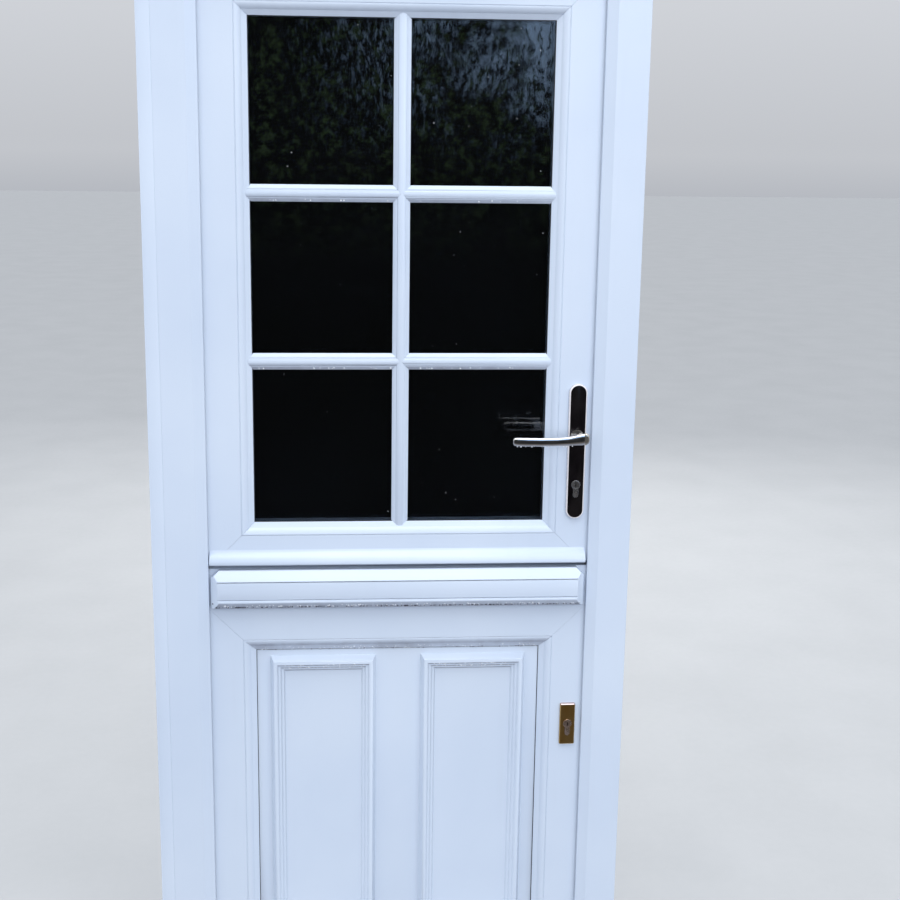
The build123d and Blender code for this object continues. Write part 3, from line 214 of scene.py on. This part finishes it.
def metalFinish(name, bright, dull, rough, spotScale, spotRough, grain=0.0, upper=None):
    g = metalGrain
    f = newFinish(name)
    cloud = f.between(f.noise(spotScale, 5), 0.38, 0.66)
    colour = f.mix(cloud, tint(*bright), tint(*dull))
    # Painted highlight: faces that look up are paled towards a pinkish white
    if upper:
        colour = f.mix(f.between(f.facingUp(), *g["facingUp"]), colour, tint(*upper))
    marks = f.between(f.noise(spotScale * g["markScale"], 3), 0.5, 0.75)
    roughness = cloud * spotRough + marks * (spotRough * g["markRough"]) + rough
    height = f.noise(1.0, 3, g["stretch"]) if grain else f.noise(g["plainScale"], 2)
    return f.principled({"Base Color": colour, "Metallic": 1.0, "Roughness": roughness,
                         "Normal": f.bump(height, max(grain, g["leastBump"]), g["bumpSize"])})


# Paint, rubber and satin: two colours, roughness, size of the clouds and of the bumps
softLooks = {
    "whiteHingePaint": {"base": (0.70, 0.76, 0.84), "shade": (0.64, 0.70, 0.79),
                        "rough": 0.34, "scale": 14, "bumpSize": 0.0001},
    "blackSeal": {"base": (0.010, 0.010, 0.012), "shade": (0.022, 0.022, 0.025),
                  "rough": 0.60, "scale": 40, "bumpSize": 0.0002},
    "blackPlate": {"base": (0.0030, 0.0022, 0.0028), "shade": (0.0065, 0.005, 0.006),
                   "rough": 0.11, "scale": 30, "bumpSize": 0.00004},
    # The rim is chrome; its bright sheen is painted into this pale colour
    "satinRim": {"base": (0.86, 0.83, 0.84), "shade": (0.76, 0.73, 0.75),
                 "rough": 0.26, "scale": 60, "bumpSize": 0.00003},
    "spacerGrey": {"base": (0.12, 0.15, 0.22), "shade": (0.16, 0.20, 0.28),
                   "rough": 0.42, "scale": 30, "bumpSize": 0.00005},
    # Near-black drops: painted shadow, standing for the shade under the real drops
    "darkDrop": {"base": (0.050, 0.048, 0.070), "shade": (0.12, 0.12, 0.15),
                 "rough": 0.12, "scale": 300, "bumpSize": 0.00002},
    # White drops: painted glints, standing for the light the real drops catch
    "brightDrop": {"base": (0.90, 0.93, 0.97), "shade": (0.80, 0.84, 0.90),
                   "rough": 0.12, "scale": 300, "bumpSize": 0.00002},
    "paleFloor": {"base": (0.41, 0.42, 0.43), "shade": (0.39, 0.40, 0.41),
                  "rough": 0.75, "scale": 3, "bumpSize": 0.0002}}
softGrain = {"finer": 14, "roughSpread": 0.06, "bumpStrength": 0.25}


def softFinish(name, base, shade, rough, scale, bumpSize):
    g = softGrain
    f = newFinish(name)
    cloud = f.between(f.noise(scale, 4), 0.35, 0.68)
    colour = f.mix(cloud, tint(*base), tint(*shade))
    fine = f.noise(scale * g["finer"], 3)
    roughness = f.between(fine, 0.3, 0.7, rough - g["roughSpread"], rough + g["roughSpread"])
    return f.principled({"Base Color": colour, "Roughness": roughness,
                         "Normal": f.bump(fine, g["bumpStrength"], bumpSize)})


glassLooks = {"clearPane": {"base": (0.93, 0.96, 0.97), "dusty": 0.004},
              "waterDrop": {"base": (0.97, 0.99, 1.0), "dusty": 0.0}}
paneWave = {"strength": 0.06, "size": 0.0012, "leastRough": 0.001}


def glassFinish(name, base, dusty):
    f = newFinish(name)
    film = f.between(f.noise(9, 5), 0.45, 0.75)
    wave = f.noise(1.6, 1)
    return f.principled({"Base Color": tint(*base),
                         "Roughness": film * dusty + paneWave["leastRough"],
                         "Transmission Weight": 1.0, "IOR": 1.46,
                         "Normal": f.bump(wave, paneWave["strength"], paneWave["size"])})


# Inner pane: painted nearly black and opaque, a dark sheet standing for the shade behind the
# glass
darkPaneLook = {"deep": tint(0.0022, 0.0024, 0.003), "pale": tint(0.006, 0.007, 0.010),
                "rough": (0.002, 0.006)}


def darkPaneFinish():
    look = darkPaneLook
    f = newFinish("darkPane")
    colour = f.mix(f.between(f.noise(1.1, 3), 0.35, 0.7), look["deep"], look["pale"])
    roughness = f.between(f.noise(6, 4), 0.4, 0.8, *look["rough"])
    normal = f.bump(f.noise(1.3, 1), paneWave["strength"], paneWave["size"])
    return f.principled({"Base Color": colour, "Roughness": roughness, "Normal": normal})


finishes = {"whitePlastic": plasticFinish(), "darkPane": darkPaneFinish()}
for make, looks in ((metalFinish, metalLooks), (softFinish, softLooks),
                    (glassFinish, glassLooks)):
    for name, look in looks.items():
        finishes[name] = make(name, **look)

finishOfSlot = {"upvc": "whitePlastic", "steel": "zincSteel", "white_hinge": "whiteHingePaint",
                "pin_steel": "pinSteel", "seal": "blackSeal", "glass": "clearPane",
                "spacer": "spacerGrey", "black_plate": "blackPlate", "chrome": "chrome",
                "brass": "polishedBrass", "nickel": "nickel"}
finishOfNode = {"inner_pane": "darkPane", "lower_cylinder": "cylinderBrass",
                "lower_cylinder_plug": "cylinderBrass"}
slotOfNode = {part["node"]: part["material_slot"] for part in frame["record"]["subparts"]}


def finishFor(node):
    return finishes[finishOfNode.get(node, finishOfSlot[slotOfNode[node]])]


for name, thing in nodes.items():
    thing.data.materials.clear()
    thing.data.materials.append(finishFor(name))
print("finishes made")


# Adds a mesh as a piece that rides on a body and stands for CAD nodes where it should
def place(name, shape, finish, body, slotName, *stoodFor):
    mesh = bpy.data.meshes.new(name)
    shape.to_mesh(mesh)
    shape.free()
    mesh.shade_smooth()
    mesh.materials.append(finish)
    piece = bpy.data.objects.new(name, mesh)
    scene.collection.objects.link(piece)
    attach(piece, body)
    if stoodFor:
        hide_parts(*stoodFor)
    return piece


leafMiddle = 20 * mm

# Rounded edges: width of the rounding by slot, in metres, and what is merged or rounded
softEdges = {"widths": {"upvc": 0.0007, "white_hinge": 0.0010, "brass": 0.0006,
                        "chrome": 0.0007, "nickel": 0.0005},
             "merge": 0.00002, "flatDegrees": 0.6, "cornerDegrees": 24, "segments": 2,
             "slots": ("upvc", "white_hinge"),
             "nodes": ("inside_handle_plate", "upper_cylinder", "lower_cylinder"),
             "evened": ("stile", "side", "head_rail", "foot_rail", "frame_head", "threshold",
                        "escutcheons", "beads"),
             "evenWeight": 70}


# Copy of a CAD node with rounded edges; shapeUp may work on its mesh first
def soften(node, shapeUp=None):
    slotName = slotOfNode[node]
    shape = bmesh.new()
    shape.from_mesh(nodes[node].data)
    bmesh.ops.remove_doubles(shape, verts=shape.verts, dist=softEdges["merge"])
    bmesh.ops.dissolve_limit(shape, angle_limit=math.radians(softEdges["flatDegrees"]),
                             verts=shape.verts, edges=shape.edges)
    if shapeUp:
        shapeUp(shape)
    piece = place(node + "_soft", shape, finishFor(node), nodes[node]["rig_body"], slotName, node)
    bevel = piece.modifiers.new("softEdge", "BEVEL")
    bevel.width = softEdges["widths"][slotName]
    bevel.segments = softEdges["segments"]
    bevel.limit_method = "ANGLE"
    bevel.angle_limit = math.radians(softEdges["cornerDegrees"])
    bevel.harden_normals = True
    bevel.use_clamp_overlap = False
    if node.endswith(softEdges["evened"]):    # keeps broad flats flat
        evenNormals = piece.modifiers.new("evenNormals", "WEIGHTED_NORMAL")
        evenNormals.weight = softEdges["evenWeight"]


for node, slotName in slotOfNode.items():
    if slotName in softEdges["slots"] or node in softEdges["nodes"]:
        soften(node)

# Escutcheons, in mm: leafHalf is the leaf's half thickness, faceDepth how deep the face reaches
escutcheonSet = {"x": 345, "z": 612, "halfWidth": 15, "halfHeight": 43.5, "thick": 6,
                 "leafHalf": 35, "faceDepth": 2.0, "corner": 2.2, "cornerSegments": 3,
                 "near": 0.1, "shorter": 0.9, "reach": 3.0, "sideSlope": 0.3, "topSlope": 1.4}


# Rounded corners and sloped borders round the escutcheons' faces
def slopeBorders(shape):
    e = escutcheonSet
    longest = 2 * e["halfWidth"] * mm * e["shorter"]    # leaves out the edges across the plates
    faceFrom = e["leafHalf"] + e["thick"] - e["faceDepth"]

    def offCentre(vert):
        return vert.co.x / mm - e["x"], vert.co.z / mm - e["z"]

    def atCorner(vert):
        aside, up = offCentre(vert)
        return abs(aside) > e["halfWidth"] - e["near"] and abs(up) > e["halfHeight"] - e["near"]

    corners = [edge for edge in shape.edges
               if all(map(atCorner, edge.verts)) and edge.calc_length() < longest]
    bmesh.ops.bevel(shape, geom=corners, offset=e["corner"] * mm, offset_type="OFFSET",
                    segments=e["cornerSegments"], profile=0.5, affect="EDGES", material=-1)
    for vert in shape.verts:
        aside, up = offCentre(vert)
        outer = abs(vert.co.y - leafMiddle) / mm > faceFrom
        if outer and e["halfWidth"] - abs(aside) < e["reach"]:
            vert.co.x -= math.copysign(e["sideSlope"] * mm, aside)
        if outer and e["halfHeight"] - abs(up) < e["reach"]:
            vert.co.z -= math.copysign(e["topSlope"] * mm, up)


soften("escutcheons", slopeBorders)
print("edges softened")


# Outside handle plate, in mm: a black face in a bright rim
plateSet = {"x": 345, "z": 1162, "width": 34, "length": 260, "back": -15, "front": -22.6,
            "sides": 56, "rim": 2.3, "edge": 2.1, "edgeSegments": 2, "recess": 0.7,
            "recessWall": 0.1, "faceGap": 0.15, "faceSunk": 0.3, "faceLift": 0.5,
            "faceEdge": 0.35}


def longOval(width, length, y):
    p = plateSet
    shape = bmesh.new()
    upright = Matrix.Rotation(math.radians(90), 4, "X")
    bmesh.ops.create_circle(shape, cap_ends=True, segments=p["sides"], radius=width / 2 * mm,
                            matrix=upright)
    stretch = (length - width) / 2 * mm
    level = 1e-9    # points at mid height go with the upper half
    for vert in shape.verts:
        vert.co.z += math.copysign(stretch, vert.co.z + level)
    bmesh.ops.translate(shape, verts=shape.verts, vec=Vector((p["x"], y, p["z"])) * mm)
    return shape


# Raises a flat shape towards the front, rounds its lip and returns its front face
def raised(shape, depth, edge):
    lifted = bmesh.ops.extrude_face_region(shape, geom=shape.faces[:])
    front = [item for item in lifted["geom"] if isinstance(item, bmesh.types.BMVert)]
    bmesh.ops.translate(shape, verts=front, vec=(0, -depth * mm, 0))
    shape.normal_update()
    lip = [side for side in shape.edges
           if all(vert in front for vert in side.verts) and side.calc_face_angle(0) > 1]
    bmesh.ops.bevel(shape, geom=lip, offset=edge * mm, offset_type="OFFSET",
                    segments=plateSet["edgeSegments"], profile=0.5, affect="EDGES", material=-1)
    bmesh.ops.recalc_face_normals(shape, faces=shape.faces)
    return max(shape.faces,
               key=lambda face: (round(-face.calc_center_median().y, 6), face.calc_area()))


def handlePlate():
    p = plateSet
    rim = longOval(p["width"], p["length"], p["back"])
    face = raised(rim, p["back"] - p["front"], p["edge"])
    bmesh.ops.inset_region(rim, faces=[face], thickness=(p["rim"] - p["edge"]) * mm, depth=0)
    bmesh.ops.inset_region(rim, faces=[face], thickness=p["recessWall"] * mm,
                           depth=-p["recess"] * mm)
    # Rim: pale colour with painted sheen in place of chrome
    place("handlePlateRim", rim, finishes["satinRim"], "top_leaf", "chrome",
          "outside_handle_plate")
    inner = 2 * (p["rim"] + p["faceGap"])
    cover = longOval(p["width"] - inner, p["length"] - inner,
                     p["front"] + p["recess"] + p["faceSunk"])
    raised(cover, p["faceLift"] + p["faceSunk"], p["faceEdge"])
    place("handlePlateFace", cover, finishes["blackPlate"], "top_leaf", "black_plate",
          "outside_handle_plate")


handlePlate()

# Lever, in mm. Grip and end: x, z, half height and half thickness of each section, from the tip
# on. Neck: x, y, z and radius, from the plate on. "square" is how far the sections are from round
leverSet = {"y": -68.0, "sides": 28, "neckSides": 36, "square": 2.7,
            "grip": [(217.4, 1193.6, 3.0, 2.2), (218.2, 1193.5, 5.4, 3.4),
                     (220.5, 1193.4, 7.2, 4.4), (226, 1193.1, 8.2, 4.9), (245, 1192.6, 8.3, 5.0),
                     (270, 1192.2, 8.1, 5.0), (298, 1192.6, 8.0, 5.0), (320, 1193.8, 8.4, 5.0),
                     (335, 1195.6, 9.6, 5.0), (345, 1197.0, 10.6, 5.0),
                     (350.5, 1197.8, 10.6, 4.9), (352.5, 1197.9, 9.0, 4.2)],
            "end": [(349.8, 1197.8, 9.6, 4.0), (350.2, 1197.8, 11.2, 5.1),
                    (353.5, 1198.0, 11.2, 5.2), (356.4, 1198.0, 9.8, 4.8),
                    (358.4, 1198.0, 7.2, 3.8), (359.4, 1198.0, 3.6, 2.4)],
            "neck": [(344.6, -22.0, 1192.2, 13.0), (344.5, -25.0, 1192.4, 12.9),
                     (344, -26.8, 1193.0, 11.6), (343.4, -28.0, 1194.4, 9.8),
                     (342.6, -34, 1196.4, 8.6), (342.6, -46, 1197.6, 8.0),
                     (344.2, -57, 1197.8, 8.8), (345, -64.5, 1197.6, 9.8)]}
mirrored = Matrix.Translation((0, leafMiddle, 0)) @ Matrix.Diagonal((1, -1, 1, 1)) \
    @ Matrix.Translation((0, -leafMiddle, 0))


# Carries the first ring of edges from section to section and closes both ends
def loft(shape, sections):
    bmesh.ops.transform(shape, matrix=sections[0], verts=shape.verts)
    ring = shape.edges[:]
    ends = [ring]
    for before, now in zip(sections, sections[1:]):
        grown = bmesh.ops.extrude_edge_only(shape, edges=ring)["geom"]
        ring = [item for item in grown if isinstance(item, bmesh.types.BMEdge)]
        verts = [item for item in grown if isinstance(item, bmesh.types.BMVert)]
        bmesh.ops.transform(shape, matrix=now @ before.inverted(), verts=verts)
    ends.append(ring)
    for end in ends:
        bmesh.ops.edgeloop_fill(shape, edges=end)
    bmesh.ops.recalc_face_normals(shape, faces=shape.faces)
    return shape


def openRing(sides, axis):
    shape = bmesh.new()
    bmesh.ops.create_circle(shape, cap_ends=False, segments=sides, radius=1,
                            matrix=Matrix.Rotation(math.radians(90), 4, axis))
    return shape


def leverRun(rows):
    p = leverSet
    shape = openRing(p["sides"], "Y")
    for vert in shape.verts:
        y, z = vert.co.y, vert.co.z
        grow = (abs(y) ** p["square"] + abs(z) ** p["square"]) ** (-1 / p["square"])
        vert.co.y, vert.co.z = y * grow, z * grow
    return loft(shape, [Matrix.Translation((x * mm, p["y"] * mm, z * mm))
                        @ Matrix.Diagonal((1, thick * mm, high * mm, 1))
                        for x, z, high, thick in p[rows]])


def leverNeck():
    p = leverSet
    return loft(openRing(p["neckSides"], "X"),
                [Matrix.Translation(Vector(spot) * mm)
                 @ Matrix.Diagonal((radius * mm, 1, radius * mm, 1))
                 for *spot, radius in p["neck"]])


def inLevers():
    for side in ("outside", "inside"):
        for part, shape, look in (("Grip", leverRun("grip"), "chrome"),
                                  ("End", leverRun("end"), "brushedNeck"),
                                  ("Neck", leverNeck(), "brushedNeck")):
            if side == "inside":
                bmesh.ops.transform(shape, matrix=mirrored, verts=shape.verts)
                bmesh.ops.recalc_face_normals(shape, faces=shape.faces)
            place(side + "Lever" + part, shape, finishes[look], "lever", "chrome",
                  side + "_lever")


inLevers()
print("handles made")

# Drops left by rain, in mm: each lies where a ray through x, y, z that rises by climb meets
# the node. "from" is in metres
# Looks: "dark" drops are near-black, painted shadow; "bright" drops are white, painted glints;
# "clear" drops are water
aimedDrops = [
    {"node": "drip_rail", "x": (-340, 362), "y": -42, "z": (863.2, 864), "climb": 0.9,
     "count": 170, "size": (0.7, 1.3), "look": "dark"},
    {"node": "drip_rail", "x": (-340, 362), "y": -42, "z": (863.4, 865), "climb": 0.9,
     "count": 60, "size": (1.0, 2.0), "look": "clear"},
    {"node": "drip_rail", "x": (-340, 362), "y": -43, "z": (865, 871), "climb": 0.7,
     "count": 110, "size": (0.6, 1.2), "look": "bright"},
    {"node": "lower_leaf_head_rail", "x": (-256, 281), "y": -6, "z": (767, 778), "climb": 0.9,
     "count": 120, "size": (0.4, 1.0), "look": "bright"},
    {"node": "lower_leaf_head_rail", "x": (-256, 281), "y": -6, "z": (765, 770), "climb": 0.9,
     "count": 60, "size": (0.5, 1.2), "look": "dark"},
    {"node": "lower_panel", "x": (-210, -54), "y": -28, "z": (720, 738), "climb": 0.7,
     "count": 60, "size": (0.5, 1.2), "look": "bright"},
    {"node": "lower_panel", "x": (80, 236), "y": -28, "z": (720, 738), "climb": 0.7,
     "count": 60, "size": (0.5, 1.2), "look": "bright"},
    {"node": "outer_cross_bars", "x": (-252, -4), "y": -6, "z": (1316.5, 1320), "climb": 0.9,
     "count": 12, "size": (0.8, 1.6), "look": "bright"},
    {"node": "outer_cross_bars", "x": (30, 277), "y": -6, "z": (1316.5, 1320), "climb": 0.9,
     "count": 12, "size": (0.8, 1.6), "look": "bright"},
    {"node": "outer_cross_bars", "x": (-252, 277), "y": -6, "z": (1623.5, 1627), "climb": 0.9,
     "count": 14, "size": (0.8, 1.6), "look": "bright"},
    {"node": "outer_pane", "x": (196, 262), "y": -1, "z": (1214, 1236), "climb": 0.0,
     "count": 16, "size": (0.6, 1.3), "look": "clear"},
    {"node": "outer_pane", "x": (-255, 280), "y": -1, "z": (1030, 1940), "climb": 0.0,
     "count": 40, "size": (0.3, 0.7), "look": "bright"}]
leverDrops = {"left": 221, "right": 332, "low": 1185.0, "hang": 0.6, "count": 13,
              "size": (0.9, 1.7), "within": (0.1, 0.9)}
dropSet = {"finishes": {"clear": "waterDrop", "bright": "brightDrop", "dark": "darkDrop"},
           "wide": (0.9, 1.25), "deep": 0.8, "tall": (0.95, 1.2), "from": 0.1, "sunk": 0.25}
random.seed(11)


def addDrop(shape, spot, size):
    stretch = Matrix.Diagonal((size * random.uniform(*dropSet["wide"]), size * dropSet["deep"],
                               size * random.uniform(*dropSet["tall"]), 1))
    bmesh.ops.create_icosphere(shape, subdivisions=2, radius=1,
                               matrix=Matrix.Translation(spot) @ stretch)


def rain():
    wet = {}
    for row in aimedDrops:
        surface = bmesh.new()
        surface.from_mesh(nodes[row["node"]].data)
        tree = BVHTree.FromBMesh(surface)
        surface.free()
        shape = wet.setdefault((nodes[row["node"]]["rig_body"], row["look"]), bmesh.new())
        way = Vector((0, 1, row["climb"])).normalized()
        for _ in range(row["count"]):
            aim = Vector((random.uniform(*row["x"]), row["y"], random.uniform(*row["z"]))) * mm
            size = random.uniform(*row["size"]) * mm
            spot = tree.ray_cast(aim - way * dropSet["from"], way)[0]
            if spot:
                addDrop(shape, spot - way * size * dropSet["sunk"], size)
    # Drops hanging under the lever are white, painted glints
    hanging = wet.setdefault(("lever", "bright"), bmesh.new())
    d = leverDrops
    for n in range(d["count"]):
        x = d["left"] + (d["right"] - d["left"]) * (n + random.uniform(*d["within"])) / d["count"]
        size = random.uniform(*d["size"])
        addDrop(hanging, Vector((x, leverSet["y"], d["low"] - size * d["hang"])) * mm, size * mm)
    for (body, look), shape in wet.items():
        place(body + "_drops_" + look, shape, finishes[dropSet["finishes"][look]], body, "glass")


rain()
print("drops made")


# Camera at the photograph's view
cameraSet = {"place": (-0.1007, -2.4095, 1.7377), "turn": (78.573, -0.658, -3.828),
             "lens": 52.65, "sensor": 36, "shift": (0.0236, -0.0504), "farthest": 200}
cameraData = bpy.data.cameras.new("camera")
cameraData.sensor_width = cameraSet["sensor"]
cameraData.lens = cameraSet["lens"]
cameraData.shift_x, cameraData.shift_y = cameraSet["shift"]
cameraData.clip_end = cameraSet["farthest"]
camera = bpy.data.objects.new("camera", cameraData)
camera.location = cameraSet["place"]
camera.rotation_euler = [math.radians(angle) for angle in cameraSet["turn"]]
scene.collection.objects.link(camera)
scene.camera = camera


def stagePlane(name, size, move, finish):
    shape = bmesh.new()
    bmesh.ops.create_grid(shape, x_segments=1, y_segments=1, size=0.5,
                          matrix=move @ Matrix.Diagonal((*size, 1, 1)))
    mesh = bpy.data.meshes.new(name)
    shape.to_mesh(mesh)
    shape.free()
    mesh.materials.append(finish)
    thing = bpy.data.objects.new(name, mesh)
    scene.collection.objects.link(thing)
    return thing


# Plain pale floor, which sends little light up to the door
floorSet = {"size": (80, 80), "move": (0, 0, -0.0005)}
floor = stagePlane("floor", floorSet["size"], Matrix.Translation(floorSet["move"]),
                   finishes["paleFloor"])
floor.visible_diffuse = False
floor.visible_glossy = False

# Dark card before the door that only reflections see; it glows, painting a reflected garden and
# sky. Heights and sides are in metres
cardSet = {"size": (7.0, 5.0), "move": (0.1, -2.75, 1.3), "deep": tint(0.018, 0.020, 0.022),
           "leaves": tint(0.12, 0.19, 0.10), "sky": tint(0.9, 1.3, 1.95),
           "ground": tint(0.11, 0.105, 0.10), "groundTop": (-0.1, 0.15),
           "leavesFrom": (1.25, 1.7), "skyFrom": (1.6, 2.2), "skySide": (-0.35, 0.65),
           "skyShare": (0.02, 1.2), "openSky": 0.10, "twigScale": 56, "twigStretch": (1, 1, 0.4),
           "crownScale": 2.4, "leafScale": 34}


# Painted reflection: dark leaves and twigs, glowing sky patches high up and to the right, and
# paler ground low down
def cardFinish():
    c = cardSet
    f = newFinish("darkCard")
    height = f.along("Z")
    rise = f.between(height, *c["skyFrom"])
    toRight = f.between(f.along("X"), *c["skySide"], *c["skyShare"])
    openSky = rise * toRight * c["openSky"]
    twigs = f.between(f.noise(c["twigScale"], 9, c["twigStretch"], 0.8) + openSky, 0.53, 0.61)
    crowns = f.between(f.noise(c["crownScale"], 8, roughness=0.65) + openSky, 0.50, 0.60)
    leafy = f.between(f.noise(c["leafScale"], 8, roughness=0.7), 0.50, 0.66)
    leaves = f.mix(leafy, c["deep"], c["leaves"])
    low = f.mix(f.between(height, *c["leavesFrom"]), c["deep"], leaves)
    colour = f.mix(twigs * crowns * rise * toRight, low, c["sky"])
    colour = f.mix(f.between(height, *c["groundTop"]), c["ground"], colour)
    return f.finishWith(f.node("ShaderNodeEmission", None, {"Color": colour}))


card = stagePlane("darkCard", cardSet["size"],
                  Matrix.Translation(cardSet["move"]) @ Matrix.Rotation(math.radians(90), 4, "X"),
                  cardFinish())
card.visible_camera = False
card.visible_diffuse = False
card.visible_shadow = False
card.visible_volume_scatter = False

# Soft studio light: lamps in watts and metres
lampSet = {
    "skyLight": {"spot": (-0.4, -2.0, 6.0), "aim": (0, -0.1, 1.0), "size": (5.0, 4.0),
                 "power": 112, "colour": (0.95, 0.97, 1.0)},
    "frontLight": {"spot": (1.0, -4.6, 2.1), "aim": (0, 0, 1.1), "size": (5.0, 3.0),
                   "power": 94, "colour": (0.95, 0.96, 1.0)},
    "backLight": {"spot": (0.8, 4.2, 3.0), "aim": (0, 0, 1.1), "size": (3.5, 2.5),
                  "power": 90, "colour": (1.0, 0.99, 0.97)}}


def softLight(name, spot, aim, size, power, colour):
    lamp = bpy.data.lights.new(name, "AREA")
    lamp.shape = "RECTANGLE"
    lamp.size, lamp.size_y = size
    lamp.energy = power
    lamp.color = colour
    holder = bpy.data.objects.new(name, lamp)
    holder.location = spot
    holder.rotation_euler = (Vector(aim) - Vector(spot)).to_track_quat("-Z", "Y").to_euler()
    scene.collection.objects.link(holder)


for name, lampLook in lampSet.items():
    softLight(name, **lampLook)

# Sky bright at the top and dark below the horizon
skySet = {"horizon": tint(0.59, 0.61, 0.65), "zenith": tint(1.45, 1.50, 1.58),
          "below": tint(0.29, 0.32, 0.38), "zenithFrom": (0.0, 0.9), "belowTo": (-0.12, -0.01),
          "strength": 0.92}


def studioSky():
    s = skySet
    f = Finish(bpy.data.worlds.new("studio"), "Generated")
    height = f.along("Z")
    above = f.mix(f.between(height, *s["zenithFrom"]), s["horizon"], s["zenith"])
    colour = f.mix(f.between(height, *s["belowTo"]), s["below"], above)
    glow = f.node("ShaderNodeBackground", None, {"Color": colour, "Strength": s["strength"]})
    return f.finishWith(glow, "ShaderNodeOutputWorld")


scene.world = studioSky()
scene.view_settings.view_transform = "Standard"
print("camera, floor and lights set")
